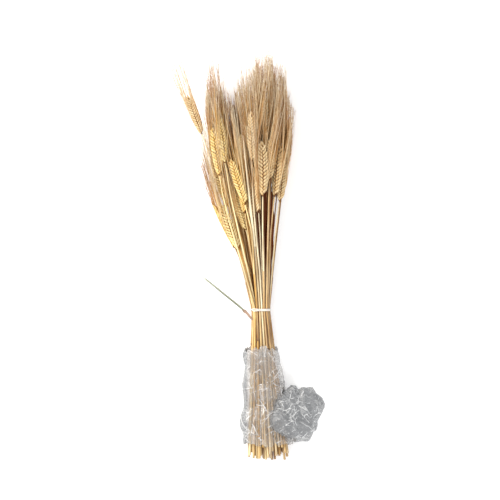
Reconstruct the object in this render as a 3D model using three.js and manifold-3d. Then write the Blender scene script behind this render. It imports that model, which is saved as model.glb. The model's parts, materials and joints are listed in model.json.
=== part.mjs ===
// A bundle of dried bearded wheat lying on a table: stalks with their ears and awns, bare straws,
// the rubber band that ties them, one loose flag leaf, and the crumpled film sleeve pushed down
// round the cut ends. Millimetres, +Z up, +Y from the cut ends towards the ears, +X to the right.
// Everything is laid out from the middle of the rubber band, with the table at Z = 0, and the
// finished group is then moved so that its origin is the bottom centre of its bounding box.

import * as THREE from "three";
import { mergeVertices } from "three/addons/utils/BufferGeometryUtils.js";
import Module from "manifold-3d";

const wasm = await Module();
wasm.setup();
const { lerp, clamp, degToRad } = THREE.MathUtils;

// Driving dimensions
const SEED = 42;
const STALKS = 50;
const GAP = 0.35;
const LOWEST = 0.4;

// Straw radii, each straw's share of them at the least, and where the straws are cut
const STRAW = { tie: 1.6, cut: 2.1, neck: 1.0, thinnest: 0.88, sides: 5 };
const CUT = { y: -222, spread: 13, footShift: 3 };

// How much of the way out a straw has gone at a third of the height of its ear's base
const BOW = 0.28;

// An ear is a slim core with spikelets in two rows. It is about 12 mm wide and 7 mm deep.
const EAR = { length: 76, halfWidth: 6.2, halfDepth: 3.7, spikelets: 10 };
const CORE = { radius: 2.1, fullAt: 0.2, apex: 0.4 };
const EAR_BASES = { lowest: 128, highest: 256, outerLower: 26, leastSize: 0.82, turn: 50 };

// A spikelet's root, belly and neck, in millimetres from its place on the ear's middle line
const SPIKELET = { sides: 3, length: 17, bellyAt: 0.42, wide: 2.2, deep: 3.6, neck: 0.5 };
const SPIKELET_REACH = { toOthers: 3.2, toOwnAwns: 1.1 };
const SPIKELET_OUT = { root: 0.9, belly: 3.9, neck: 5.2, neckAside: 1.5 };

// An awn tries its full length first, then these shares of it.
const AWN = { length: 96, shares: [1, 0.8, 0.6, 0.4], tries: 80, clear: 0.35, splay: 0.16, stray: 0.3 };

// The highest that an awn's tip lies above the table, and how far up the bundle tips reach at each x:
// one ear stands out at the left, and the rest part in two tufts.
const AWN_TOP = 80;
const SKYLINE = [
  { x: -146, y: 360 },
  { x: -138, y: 390 },
  { x: -118, y: 372 },
  { x: -99, y: 325 },
  { x: -81, y: 391 },
  { x: -64, y: 406 },
  { x: -53, y: 388 },
  { x: -43, y: 318 },
  { x: -33, y: 364 },
  { x: -23, y: 388 },
  { x: 2, y: 408 },
  { x: 12, y: 418 },
  { x: 34, y: 388 },
  { x: 48, y: 356 },
  { x: 57, y: 333 },
  { x: 64, y: 270 },
];

const BAND = { width: 3.6, thick: 1.4, sides: 20, gap: 0.3 };
const BAND_CROSSING = { angle: -60, half: 22, width: 6.2, thick: 2.2 };

// The leaf from its root, which lies on the straws below the band, to its tip
const LEAF = [
  { x: -14, y: -25, width: 1.8 },
  { x: -17.8, y: -12.4, width: 4.6 },
  { x: -27.9, y: -1.6, width: 5.2 },
  { x: -37.2, y: 10.9, width: 4.4 },
  { x: -55.8, y: 24.8, width: 2.6 },
  { x: -74.4, y: 38, width: 2 },
  { x: -91.5, y: 51.2, width: 1 },
];
const BLADE = { thick: 0.8, sides: 6, fold: 0.9, tipHeight: 8 };

const FILM = { bottom: -213, top: -54, rings: 10, around: 26, wall: 1.2, standOff: 2, slack: 4, crease: 4.5 };
const LUMP = { x: 64, y: -164, z: 24, halfX: 33, halfY: 47, halfZ: 24 };

// How the bundle spreads along its length: where its middle is, and its half width and half depth
// measured to the outermost straw's centre
const BUNCH = { x: 0, halfX: 14, z: 16, halfZ: 12.4 };
const SPREAD = [
  { y: -240, x: 12, halfX: 33, z: 13.6, halfZ: 9.2 },
  { y: 0, ...BUNCH },
  { y: 50, x: -2, halfX: 19.5, z: 19, halfZ: 14 },
  { y: 95, x: -6, halfX: 28, z: 22.5, halfZ: 17 },
  { y: 160, x: -14, halfX: 42, z: 27, halfZ: 22 },
  { y: 230, x: -19, halfX: 56, z: 29, halfZ: 24 },
  { y: 340, x: -24, halfX: 70, z: 32, halfZ: 26 },
];

// The ears that lie on top, placed by hand: base and tip seen from above, how high in the bundle
// (1 is the very top), and the turn of the ear's flat side away from facing up, in degrees
const TOP_EARS = [
  { base: [-90, 270], tip: [-112, 331], high: 0.55, turn: 10 },
  { base: [-62, 205], tip: [-70, 279], high: 0.95, turn: 0 },
  { base: [-51, 158], tip: [-75, 228], high: 0.7, turn: 15 },
  { base: [-31, 91], tip: [-60, 166], high: 0.8, turn: -5 },
  { base: [-37, 95], tip: [-73, 163], high: 0.25, turn: 70 },
  { base: [-23, 160], tip: [-48, 232], high: 0.85, turn: 20 },
  { base: [-19, 122], tip: [-42, 190], high: 0.6, turn: -35 },
  { base: [-14, 228], tip: [-13, 302], high: 0.95, turn: 10 },
  { base: [2, 172], tip: [3, 258], high: 0.98, turn: -8 },
  { base: [20, 174], tip: [30, 252], high: 0.75, turn: 25 },
  { base: [-6, 148], tip: [-14, 218], high: 0.75, turn: 60 },
  { base: [17, 196], tip: [13, 262], high: 0.55, turn: 80 },
  { base: [36, 215], tip: [44, 288], high: 0.4, turn: 40 },
  { base: [6, 252], tip: [9, 326], high: 0.6, turn: 30 },
  { base: [24, 246], tip: [31, 316], high: 0.5, turn: -20 },
  { base: [-64, 240], tip: [-78, 312], high: 0.4, turn: -30 },
];

// Straws that have lost their ears, also on top: where the broken end is, and how high
const BARE_STRAWS = [
  { end: [-28, 268], high: 0.99 },
  { end: [-38, 335], high: 0.5 },
  { end: [-3, 315], high: 0.75 },
];

// Each straw runs straight from one of these levels to the next, and is held at the band.
const LEVELS = [-240, 0, 60, 120, 180, 240, 310, 380];
const TIE_LEVEL = LEVELS.indexOf(0);
const SETTLE = { rounds: 900, step: 8, stiff: 0.5, pull: 0.08, spare: 0.3 };

const COLOURS = {
  straw: new THREE.Color("#d3a95f"),
  bare: new THREE.Color("#e6d3a4"),
  band: new THREE.Color("#f1eee6"),
  leaf: new THREE.Color("#9c9878"),
  film: new THREE.Color("#dde4e8"),
};

// Small tools
function seeded(seed) {
  let state = seed >>> 0;
  return () => {
    state = (state + 0x6d2b79f5) >>> 0;
    let mixed = Math.imul(state ^ (state >>> 15), state | 1);
    mixed ^= mixed + Math.imul(mixed ^ (mixed >>> 7), mixed | 61);
    return ((mixed ^ (mixed >>> 14)) >>> 0) / 4294967296;
  };
}

const between = (random, low, high) => lerp(low, high, random());

// The row of a table at a value of one of its columns, by straight interpolation
function rowAt(table, column, value) {
  const after = table.findIndex((row) => row[column] >= value);
  if (after === 0) return table[0];
  if (after < 0) return table[table.length - 1];
  const [low, high] = [table[after - 1], table[after]];
  const share = (value - low[column]) / (high[column] - low[column]);
  return Object.fromEntries(Object.keys(low).map((key) => [key, lerp(low[key], high[key], share)]));
}

const spreadAt = (y) => rowAt(SPREAD, "y", y);

// A place in the bundle at y, given in shares of its half width and half depth there
function inSpread(y, { u, v }) {
  const here = spreadAt(y);
  return { x: here.x + u * here.halfX, z: here.z + v * here.halfZ };
}

// The way across a heading, level with the table, and the way up from it
function framed(along) {
  const across = new THREE.Vector3().crossVectors(along, new THREE.Vector3(0, 0, 1)).normalize();
  return { along, across, up: new THREE.Vector3().crossVectors(across, along) };
}

// A geometry with only its positions, its shared vertices merged and each one moved by a function
function warped(geometry, move) {
  const bare = new THREE.BufferGeometry();
  bare.setAttribute("position", geometry.getAttribute("position"));
  bare.setIndex(geometry.getIndex());
  const merged = mergeVertices(bare, 1e-5);
  const position = merged.getAttribute("position");
  const point = new THREE.Vector3();
  for (let i = 0; i < position.count; i++) {
    point.fromBufferAttribute(position, i);
    position.setXYZ(i, ...move(point).toArray());
  }
  return merged;
}

function toSolid(geometry) {
  const vertProperties = new Float32Array(geometry.getAttribute("position").array);
  const triVerts = new Uint32Array(geometry.getIndex().array);
  return new wasm.Manifold(new wasm.Mesh({ numProp: 3, vertProperties, triVerts }));
}

function toGeometry(solid) {
  const mesh = solid.getMesh();
  const geometry = new THREE.BufferGeometry();
  geometry.setAttribute("position", new THREE.BufferAttribute(new Float32Array(mesh.vertProperties), 3));
  geometry.setIndex(new THREE.BufferAttribute(new Uint32Array(mesh.triVerts), 1));
  geometry.computeVertexNormals();
  return geometry;
}

// The places where the straws pass through the band: the fullest hexagonal packing in its oval,
// in shares of the bundle's half width and half depth
function packedSlots(count) {
  const pitch = 2 * STRAW.tie + GAP + 0.02;
  const rowPitch = pitch * Math.sin(Math.PI / 3);
  const slots = [];
  for (let row = -5; row <= 5; row++) {
    for (let column = -6; column <= 6; column++) {
      const u = ((column + (row % 2 ? 0.5 : 0)) * pitch) / BUNCH.halfX;
      const v = (row * rowPitch) / BUNCH.halfZ;
      slots.push({ u, v, out: Math.hypot(u, v) });
    }
  }
  return slots.sort((a, b) => a.out - b.out).slice(0, count);
}

const offAim = (slot, aim) => (slot.u - aim.u) ** 2 + (slot.v - aim.v) ** 2;

// Every stalk with its slot in the band, its ear and its first route
function plannedStalks(random) {
  const slots = packedSlots(STALKS);
  const aimAt = ([x, y], high) => {
    const here = spreadAt(y);
    const u = clamp((x - here.x) / here.halfX, -1, 1);
    return { u, v: lerp(-1, 1, high) * Math.sqrt(1 - 0.6 * u * u) };
  };
  const placed = [
    ...TOP_EARS.map((ear) => ({ ...ear, size: 1, aim: aimAt(ear.base, ear.high) })),
    ...BARE_STRAWS.map(({ end, high }) => ({ base: end, turn: 0, size: 1, aim: aimAt(end, high) })),
  ];
  for (const stalk of placed) {
    slots.sort((a, b) => offAim(a, stalk.aim) - offAim(b, stalk.aim));
    stalk.slot = slots.shift();
  }
  const stalks = [...placed, ...slots.map((slot) => stalkFromSlot(slot, random))];
  untangle(stalks);
  for (const stalk of stalks) {
    const turn = degToRad(stalk.turn);
    stalk.flat = { x: Math.cos(turn), z: Math.sin(turn) };
    stalk.thin = between(random, STRAW.thinnest, 1);
    stalk.cut = CUT.y + between(random, -CUT.spread, CUT.spread);
    stalk.top = (stalk.tip ?? stalk.base)[1];
    stalk.plan = firstRoute(stalk, between(random, -CUT.footShift, CUT.footShift));
    stalk.route = stalk.plan.map(({ x, z }) => ({ x, z }));
  }
  return stalks;
}

// A stalk that follows the spread from its slot, the outer ones with lower ears than the inner
function stalkFromSlot(slot, random) {
  const { lowest, highest, outerLower, leastSize } = EAR_BASES;
  const y = between(random, lowest, highest) - outerLower * slot.out;
  const aim = { u: slot.u + between(random, -0.1, 0.1), v: slot.v };
  const size = between(random, leastSize, 1);
  const top = y + EAR.length * size;
  const turn = between(random, -EAR_BASES.turn, EAR_BASES.turn);
  return { base: [inSpread(y, aim).x, y], tip: [inSpread(top, aim).x, top], turn, slot, aim, size };
}

// Swaps slots between stalks while that brings them nearer their aims, so that routes don't cross.
function untangle(stalks) {
  for (let swapped = true; swapped; ) {
    swapped = false;
    for (const a of stalks) {
      for (const b of stalks) {
        const now = offAim(a.slot, a.aim) + offAim(b.slot, b.aim);
        if (offAim(b.slot, a.aim) + offAim(a.slot, b.aim) > now - 1e-9) continue;
        [a.slot, b.slot] = [b.slot, a.slot];
        swapped = true;
      }
    }
  }
}

// Straight from the cut end to the slot, then a curve to the ear's base, and straight on along it
function firstRoute({ base, tip, aim, slot }, footShift) {
  const height = base[1];
  const third = height / 3;
  const foot = inSpread(LEVELS[0], slot);
  const tie = inSpread(0, slot);
  const neck = { x: base[0], z: inSpread(height, aim).z };
  const leanX = tip ? (tip[0] - neck.x) / (tip[1] - height) : (neck.x - tie.x) / height;
  const leanZ = (inSpread(height + EAR.length, aim).z - neck.z) / EAR.length;
  const curve = new THREE.CubicBezierCurve3(
    new THREE.Vector3(tie.x, 0, tie.z),
    new THREE.Vector3(lerp(tie.x, neck.x, BOW), third, lerp(tie.z, neck.z, BOW)),
    new THREE.Vector3(neck.x - leanX * third, 2 * third, neck.z - leanZ * third),
    new THREE.Vector3(neck.x, height, neck.z),
  );
  return LEVELS.map((y) => {
    const below = y / LEVELS[0];
    if (y <= 0) return { x: lerp(tie.x, foot.x + footShift, below), z: lerp(tie.z, foot.z, below) };
    if (y < height) return curve.getPoint(y / height);
    return { x: neck.x + leanX * (y - height), z: neck.z + leanZ * (y - height) };
  });
}

// How far a stalk reaches from its own line at y, across its flat side and through it, or null
// past its top
function reachAt({ base, tip, thin, top, size }, y) {
  if (y > top + 8) return null;
  const straw = thin * (y < 0 ? lerp(STRAW.tie, STRAW.cut, y / LEVELS[0]) : STRAW.tie);
  if (!tip || y < base[1]) return { wide: straw, deep: straw };
  const along = clamp((y - base[1]) / (top - base[1]), 0, 1);
  const swell = Math.sin(Math.PI * (0.22 + 0.5 * along));
  return { wide: lerp(1.8, EAR.halfWidth * size, swell), deep: lerp(1.8, EAR.halfDepth * size, swell) };
}

// The part of a reach that counts in the direction (dx, dz), which has length 1
function reachTowards({ wide, deep }, flat, dx, dz) {
  return Math.hypot(wide * (dx * flat.x + dz * flat.z), deep * (dz * flat.x - dx * flat.z));
}

// Pushes the straws apart until none touch, measured every few millimetres. Straws are stiff, so
// each route's shift from its plan is kept smooth.
function settle(stalks) {
  const places = [];
  for (let y = LEVELS[0] + 4; y < LEVELS[LEVELS.length - 1]; y += SETTLE.step) {
    const level = LEVELS.findIndex((high) => high > y) - 1;
    const share = (y - LEVELS[level]) / (LEVELS[level + 1] - LEVELS[level]);
    const lowest = y < 0 ? FILM.wall + LOWEST : LOWEST;
    places.push({ level, share, lowest, reach: stalks.map((stalk) => reachAt(stalk, y)) });
  }
  for (let round = 0; round < SETTLE.rounds; round++) {
    const ease = Math.max(0, 1 - (1.25 * round) / SETTLE.rounds);
    for (const place of places) separate(stalks, place);
    for (const { plan, route } of stalks) relax(plan, route, SETTLE.stiff * ease, SETTLE.pull * ease);
  }
}

function separate(stalks, { level, share, lowest, reach }) {
  const points = stalks.map(({ route }) => ({
    x: lerp(route[level].x, route[level + 1].x, share),
    z: lerp(route[level].z, route[level + 1].z, share),
  }));
  const move = (i, dx, dz) => {
    shiftRun(stalks[i].route, level, share, dx, dz);
    points[i].x += dx;
    points[i].z += dz;
  };
  for (let i = 0; i < stalks.length; i++) {
    if (!reach[i]) continue;
    const sunk = lowest + reachTowards(reach[i], stalks[i].flat, 0, 1) - points[i].z;
    if (sunk > 0) move(i, 0, sunk);
    for (let j = i + 1; j < stalks.length; j++) {
      if (!reach[j]) continue;
      const across = points[j].x - points[i].x;
      const above = points[j].z - points[i].z;
      const apart = Math.max(Math.hypot(across, above), 1e-3);
      if (apart > reach[i].wide + reach[j].wide + GAP + SETTLE.spare) continue;
      const [dx, dz] = [across / apart, above / apart];
      const reaches =
        reachTowards(reach[i], stalks[i].flat, dx, dz) + reachTowards(reach[j], stalks[j].flat, dx, dz);
      const push = 0.5 * (reaches + GAP + SETTLE.spare - apart);
      if (push <= 0) continue;
      move(i, -dx * push, -dz * push);
      move(j, dx * push, dz * push);
    }
  }
}

// Moves one point of a route by moving the ends of its straight run, but never the end in the band.
function shiftRun(route, level, share, dx, dz) {
  const low = level === TIE_LEVEL ? 0 : 1 - share;
  const high = level + 1 === TIE_LEVEL ? 0 : share;
  const weight = low * low + high * high;
  if (weight < 0.02) return;
  route[level].x += (dx * low) / weight;
  route[level].z += (dz * low) / weight;
  route[level + 1].x += (dx * high) / weight;
  route[level + 1].z += (dz * high) / weight;
}

function relax(plan, route, stiffness, pull) {
  const shifts = route.map(({ x, z }, level) => ({ x: x - plan[level].x, z: z - plan[level].z }));
  shifts.forEach((here, level) => {
    if (level === TIE_LEVEL) return;
    const low = shifts[Math.max(0, level - 1)];
    const high = shifts[Math.min(route.length - 1, level + 1)];
    route[level].x += stiffness * ((low.x + high.x) / 2 - here.x) - pull * here.x;
    route[level].z += stiffness * ((low.z + high.z) / 2 - here.z) - pull * here.z;
  });
}

function routeAt({ route }, y) {
  const level = clamp(LEVELS.findIndex((high) => high > y) - 1, 0, LEVELS.length - 2);
  const share = (y - LEVELS[level]) / (LEVELS[level + 1] - LEVELS[level]);
  const [low, high] = [route[level], route[level + 1]];
  return new THREE.Vector3(lerp(low.x, high.x, share), y, lerp(low.z, high.z, share));
}

// The straw and the ear's core in one run of rings, from the cut end to the ear's apex
function stemRings(stalk) {
  const { cut, thin, base, tip, top, size } = stalk;
  const rings = [
    { y: cut, radius: thin * lerp(STRAW.tie, STRAW.cut, cut / LEVELS[0]) },
    { y: 0, radius: thin * STRAW.tie },
  ];
  for (const y of LEVELS.slice(TIE_LEVEL + 1)) {
    if (y < base[1] - 3) rings.push({ y, radius: thin * lerp(STRAW.tie, STRAW.neck, y / base[1]) });
  }
  rings.push({ y: base[1], radius: STRAW.neck });
  if (!tip) return rings;
  const full = lerp(base[1], top, CORE.fullAt);
  const coreAt = (y) => ({ y, radius: CORE.radius * size * lerp(1, CORE.apex, (y - full) / (top - full)) });
  const within = LEVELS.filter((y) => y > full + 3 && y < top - 3);
  return [...rings, ...[full, ...within, top].map(coreAt)];
}

function stemGeometry(stalk) {
  const rings = stemRings(stalk);
  const points = rings.map(({ y }) => routeAt(stalk, y));
  const runs = points.slice(1).map((point, i) => point.clone().sub(points[i]).normalize());
  const frames = points.map((_, i) => {
    const [into, on] = [runs[i - 1] ?? runs[i], runs[i] ?? runs[i - 1]];
    return framed(into.clone().add(on).normalize());
  });
  const tube = new THREE.CylinderGeometry(1, 1, runs.length, STRAW.sides, runs.length);
  return warped(tube, ({ x, y, z }) => {
    const i = Math.round(y + runs.length / 2);
    return points[i]
      .clone()
      .addScaledVector(frames[i].across, x * rings[i].radius)
      .addScaledVector(frames[i].up, z * rings[i].radius);
  });
}

// An ear's spikelets. They stand in two rows, left and right of the core, with their roots sunk in
// it, and their necks lie now above and now below, so that each awn clears the next spikelet.
function earSpikelets(stalk, random) {
  const { base, top, size, flat } = stalk;
  return Array.from({ length: EAR.spikelets }, (_, i) => {
    const share = i / (EAR.spikelets - 1);
    const y = lerp(base[1] + 1, top - 0.2 * (top - base[1]), share);
    const { along, across, up } = framed(routeAt(stalk, y + 0.5).sub(routeAt(stalk, y - 0.5)).normalize());
    const out = across.multiplyScalar(flat.x).addScaledVector(up, flat.z);
    if (i % 2) out.negate();
    const face = new THREE.Vector3().crossVectors(out, along);
    const fill = size * lerp(0.82, 1, Math.sin(Math.PI * (0.15 + 0.7 * share)));
    const side = i % 4 < 2 ? 1 : -1;
    const place = (on, outward, sideways) =>
      routeAt(stalk, y)
        .addScaledVector(along, on * fill)
        .addScaledVector(out, outward * fill)
        .addScaledVector(face, sideways * side * fill);
    const heading = along
      .clone()
      .addScaledVector(out, AWN.splay * between(random, 0.4, 1.6))
      .addScaledVector(face, AWN.splay * side * between(random, 0.2, 1.2));
    return {
      root: place(0, SPIKELET_OUT.root, 0),
      belly: place(SPIKELET.bellyAt * SPIKELET.length, SPIKELET_OUT.belly, 0),
      neck: place(SPIKELET.length, SPIKELET_OUT.neck, SPIKELET_OUT.neckAside),
      out,
      face,
      fill,
      heading,
    };
  });
}

// One spikelet with its awn: root, belly ring, neck ring and awn tip
function spikeletGeometry({ root, belly, neck, awnTip, out, face, fill }) {
  const ringRadius = Math.sin(Math.PI / 3);
  return warped(new THREE.SphereGeometry(1, SPIKELET.sides, 3), ({ x, y, z }) => {
    if (y > 0.9) return awnTip;
    if (y < -0.9) return root;
    const atNeck = y > 0;
    const wide = (atNeck ? SPIKELET.neck : SPIKELET.wide * fill) / ringRadius;
    const deep = (atNeck ? SPIKELET.neck : SPIKELET.deep * fill) / ringRadius;
    return (atNeck ? neck : belly).clone().addScaledVector(out, -x * wide).addScaledVector(face, -z * deep);
  });
}

// The least distance between the straight runs a-b and c-d
function runDistance(a, b, c, d) {
  const u = b.clone().sub(a);
  const v = d.clone().sub(c);
  const w = a.clone().sub(c);
  const [uu, uv, vv, uw, vw] = [u.dot(u), u.dot(v), v.dot(v), u.dot(w), v.dot(w)];
  const bend = uu * vv - uv * uv;
  const first = bend > 1e-9 ? clamp((uv * vw - vv * uw) / bend, 0, 1) : 0;
  const t = clamp((uv * first + vw) / vv, 0, 1);
  const s = clamp((uv * t - uw) / uu, 0, 1);
  return w.addScaledVector(u, s).addScaledVector(v, -t).length();
}

// Gives every spikelet its awn, the topmost first. An awn takes the clearest way near the heading
// it would grow in, is shorter where it must be, and is a stub where nothing is clear.
function growAwns(stalks, random) {
  const blocks = [];
  const block = (stalk, owner, a, b, radius, ownRadius = radius) => {
    const box = new THREE.Box3().setFromPoints([a, b]).expandByScalar(radius + SPIKELET.neck + AWN.clear);
    blocks.push({ stalk, owner, a, b, radius, ownRadius, box });
  };
  for (const stalk of stalks) {
    const rings = stemRings(stalk);
    rings.slice(1).forEach((ring, i) => {
      const radius = Math.max(ring.radius, rings[i].radius);
      block(stalk, null, routeAt(stalk, rings[i].y), routeAt(stalk, ring.y), radius);
    });
    for (const spikelet of stalk.spikelets ?? []) {
      const { root, belly, neck, fill } = spikelet;
      const reach = SPIKELET_REACH.toOthers * fill;
      const ownReach = SPIKELET_REACH.toOwnAwns * fill;
      const [low, high] = [root.clone().lerp(belly, 0.6), belly.clone().lerp(neck, 0.45)];
      block(stalk, spikelet, low, high, reach, ownReach);
      block(stalk, spikelet, belly, neck, reach / 2, ownReach / 2);
    }
  }
  const waiting = stalks.flatMap((stalk) => (stalk.spikelets ?? []).map((spikelet) => ({ stalk, spikelet })));
  waiting.sort((a, b) => b.spikelet.neck.z - a.spikelet.neck.z);
  for (const { stalk, spikelet } of waiting) {
    const others = blocks.filter(({ owner }) => owner !== spikelet);
    spikelet.awnTip = clearTip(stalk, spikelet, others, random);
    block(stalk, spikelet, spikelet.neck, spikelet.awnTip, SPIKELET.neck);
  }
}

function clearTip(stalk, { neck, out, face, heading }, blocks, random) {
  for (const share of AWN.shares) {
    for (let i = 0; i < AWN.tries; i++) {
      const stray = (AWN.stray * i) / AWN.tries;
      const way = heading
        .clone()
        .addScaledVector(out, between(random, -stray, stray))
        .addScaledVector(face, between(random, -stray, stray))
        .normalize();
      const tip = neck.clone().addScaledVector(way, AWN.length * share * between(random, 0.88, 1.08));
      if (tip.z < LOWEST || tip.z > AWN_TOP || tip.y > rowAt(SKYLINE, "x", tip.x).y) continue;
      const box = new THREE.Box3().setFromPoints([neck, tip]);
      const blocked = blocks.some((other) => {
        if (!box.intersectsBox(other.box)) return false;
        const radius = other.stalk === stalk ? other.ownRadius : other.radius;
        return runDistance(neck, tip, other.a, other.b) < radius + SPIKELET.neck + AWN.clear;
      });
      if (!blocked) return tip;
    }
  }
  return neck.clone().addScaledVector(heading, 4);
}

// How far the straws reach from a centre at y in the direction (dx, dz), which has length 1
function bunchReach(stalks, y, centre, dx, dz) {
  const reaches = stalks.map((stalk) => {
    const { x, z } = routeAt(stalk, y);
    return (x - centre.x) * dx + (z - centre.z) * dz + reachAt(stalk, y).wide;
  });
  return Math.max(...reaches);
}

// A closed wall round the bundle, turned from a section whose radius is 1 inside and 2 outside.
// The function gives each vertex its place from the direction it lies in, its side and its row.
function wallRound(rows, around, place) {
  const outside = Array.from({ length: rows }, (_, row) => new THREE.Vector2(2, row));
  const inside = outside.map(({ y }) => new THREE.Vector2(1, y)).reverse();
  const lathe = new THREE.LatheGeometry([...outside, ...inside, outside[0]], around);
  return warped(lathe, ({ x, y, z }) => {
    const radius = Math.hypot(x, z);
    return place({ dx: x / radius, dz: z / radius, outer: radius > 1.5, row: Math.round(y) });
  });
}

// The rubber band: a flat ring round the straws, thick and wide where its two turns cross
function bandGeometry(stalks) {
  const flatten = 1 / Math.cos(Math.PI / BAND.sides);
  return wallRound(2, BAND.sides, ({ dx, dz, outer, row }) => {
    const away = Math.abs(Math.atan2(dx, dz) - degToRad(BAND_CROSSING.angle));
    const crossing = away < degToRad(BAND_CROSSING.half);
    const { width, thick } = crossing ? BAND_CROSSING : BAND;
    const y = (row - 0.5) * width;
    const snug = Math.max(bunchReach(stalks, -y, BUNCH, dx, dz), bunchReach(stalks, y, BUNCH, dx, dz));
    const radius = (snug + BAND.gap) * flatten + (outer ? thick : 0);
    return new THREE.Vector3(BUNCH.x + dx * radius, y, BUNCH.z + dz * radius);
  });
}

// How far the film's lump reaches from a centre at y in the direction (dx, dz), or 0 beside it.
// The lump is an ellipsoid, smaller all round by inset for its inner face.
function lumpReach(y, centre, dx, dz, inset) {
  const section = 1 - ((y - LUMP.y) / LUMP.halfY) ** 2;
  if (section <= 0) return 0;
  const halfX = LUMP.halfX * Math.sqrt(section) - inset;
  const halfZ = LUMP.halfZ * Math.sqrt(section) - inset;
  if (halfX <= 0 || halfZ <= 0) return 0;
  const from = new THREE.Vector2((LUMP.x - centre.x) / halfX, (LUMP.z - centre.z) / halfZ);
  const way = new THREE.Vector2(dx / halfX, dz / halfZ);
  const along = from.dot(way) / way.lengthSq();
  const beside = from.lengthSq() - along * along * way.lengthSq();
  return along > 0 && beside < 1 ? along + Math.sqrt((1 - beside) / way.lengthSq()) : 0;
}

// The film sleeve: it stands off the straws in creases, bulges into the lump at the right, and its
// underside lies flat on the table.
function sleeveGeometry(stalks, random) {
  const creases = Array.from({ length: FILM.rings * FILM.around }, () => random() ** 2 * FILM.crease);
  const turnStep = (2 * Math.PI) / FILM.around;
  return wallRound(FILM.rings, FILM.around, ({ dx, dz, outer, row }) => {
    const share = row / (FILM.rings - 1);
    const y = lerp(FILM.bottom, FILM.top, share);
    const centre = spreadAt(y);
    const turn = (Math.round(Math.atan2(dx, dz) / turnStep) + FILM.around) % FILM.around;
    const crease = creases[row * FILM.around + turn] * lerp(1, 0.4, share);
    const inset = outer ? 0 : FILM.wall;
    const loose = FILM.standOff + FILM.slack * Math.sin(Math.PI * lerp(0.1, 0.75, share));
    const snug = bunchReach(stalks, y, centre, dx, dz) + loose + FILM.wall - inset;
    const radius = Math.max(snug, lumpReach(y, centre, dx, dz, inset)) + crease;
    return new THREE.Vector3(centre.x + dx * radius, y, Math.max(centre.z + dz * radius, inset));
  });
}

// The leaf: a blade with a fold along its middle. Its root lies on the straws, and from there it
// sinks evenly towards the table.
function leafGeometry(stalks) {
  const runs = LEAF.length - 1;
  const rootHeight = Math.max(
    ...Array.from({ length: 9 }, (_, i) => {
      const { x, y, width } = rowAt(LEAF, "y", lerp(LEAF[0].y, LEAF[1].y, i / 8));
      return Math.max(...stalks.map((stalk) => heightOver(stalk, x, y, width / 2)));
    }),
  );
  const onStraws = rootHeight + BLADE.thick / 2;
  const points = LEAF.map(({ x, y }, i) => {
    const fall = Math.max(0, (i - 1) / (runs - 1));
    return new THREE.Vector3(x, y, lerp(onStraws, BLADE.tipHeight, fall));
  });
  const frames = points.map((point, i) => {
    const [low, high] = [points[Math.max(0, i - 1)], points[Math.min(runs, i + 1)]];
    return framed(high.clone().sub(low).normalize());
  });
  const edge = Math.sin((2 * Math.PI) / BLADE.sides);
  return warped(new THREE.CylinderGeometry(1, 1, runs, BLADE.sides, runs), ({ x, y, z }) => {
    const i = Math.round(y + runs / 2);
    const acrossShare = x / edge;
    const thick = Math.abs(x) + Math.abs(z) < 1e-3 ? 0 : (Math.sign(z) * BLADE.thick) / 2;
    const fold = Math.abs(acrossShare) * BLADE.fold * (LEAF[i].width / LEAF[2].width);
    return points[i]
      .clone()
      .addScaledVector(frames[i].across, (acrossShare * LEAF[i].width) / 2)
      .addScaledVector(frames[i].up, thick + fold);
  });
}

// The height of a straw's top, with its gap, under a strip of the given half width, or 0 beside it
function heightOver(stalk, x, y, half) {
  const centre = routeAt(stalk, y);
  const radius = reachAt(stalk, y).wide + GAP;
  const beside = Math.max(0, Math.abs(x - centre.x) - half);
  return beside < radius ? centre.z + Math.sqrt(radius ** 2 - beside ** 2) : 0;
}

// Assembly
const random = seeded(SEED);
const stalks = plannedStalks(random);
settle(stalks);
for (const stalk of stalks) {
  if (stalk.tip) stalk.spikelets = earSpikelets(stalk, random);
}
growAwns(stalks, random);

const bundle = new THREE.Group();
function addPiece(name, geometry, material) {
  const mesh = new THREE.Mesh(geometry, new THREE.MeshStandardMaterial({ metalness: 0, ...material }));
  mesh.name = name;
  bundle.add(mesh);
}

const numbered = (word, index) => `${word}_${String(index + 1).padStart(2, "0")}`;
stalks
  .filter(({ tip }) => tip)
  .forEach((stalk, i) => {
    const pieces = [stemGeometry(stalk), ...stalk.spikelets.map(spikeletGeometry)].map(toSolid);
    const solid = pieces.reduce((joined, piece) => joined.add(piece));
    const color = COLOURS.straw.clone().offsetHSL(0, 0, between(random, -0.08, 0.06));
    addPiece(numbered("wheat_stalk", i), toGeometry(solid), { color, roughness: 0.75 });
  });
stalks
  .filter(({ tip }) => !tip)
  .forEach((stalk, i) => {
    addPiece(numbered("bare_straw", i), stemGeometry(stalk), { color: COLOURS.bare, roughness: 0.6 });
  });
addPiece("rubber_band", bandGeometry(stalks), { color: COLOURS.band, roughness: 0.5 });
addPiece("leaf", leafGeometry(stalks), { color: COLOURS.leaf, roughness: 0.8 });
addPiece("film_sleeve", sleeveGeometry(stalks, random), {
  color: COLOURS.film,
  roughness: 0.15,
  transparent: true,
  opacity: 0.4,
});

const group = new THREE.Group();
group.add(bundle);
const box = new THREE.Box3().setFromObject(bundle);
bundle.position.set(-(box.min.x + box.max.x) / 2, -(box.min.y + box.max.y) / 2, -box.min.z);

export default group;
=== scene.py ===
"""A bundle of dried bearded wheat lying on a table, seen from above.

The stalks, the bare straws, the rubber band, the loose leaf and the crumpled film sleeve are each
modelled round the solid of the same name: every piece reads its place and size off that solid.
+Y runs from the cut ends to the ears and +Z up from the table. Lengths are in metres.
"""

import functools
import json
import math

import bmesh
import bpy
import numpy as np
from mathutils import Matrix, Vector, noise
from mathutils.bvhtree import BVHTree

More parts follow.
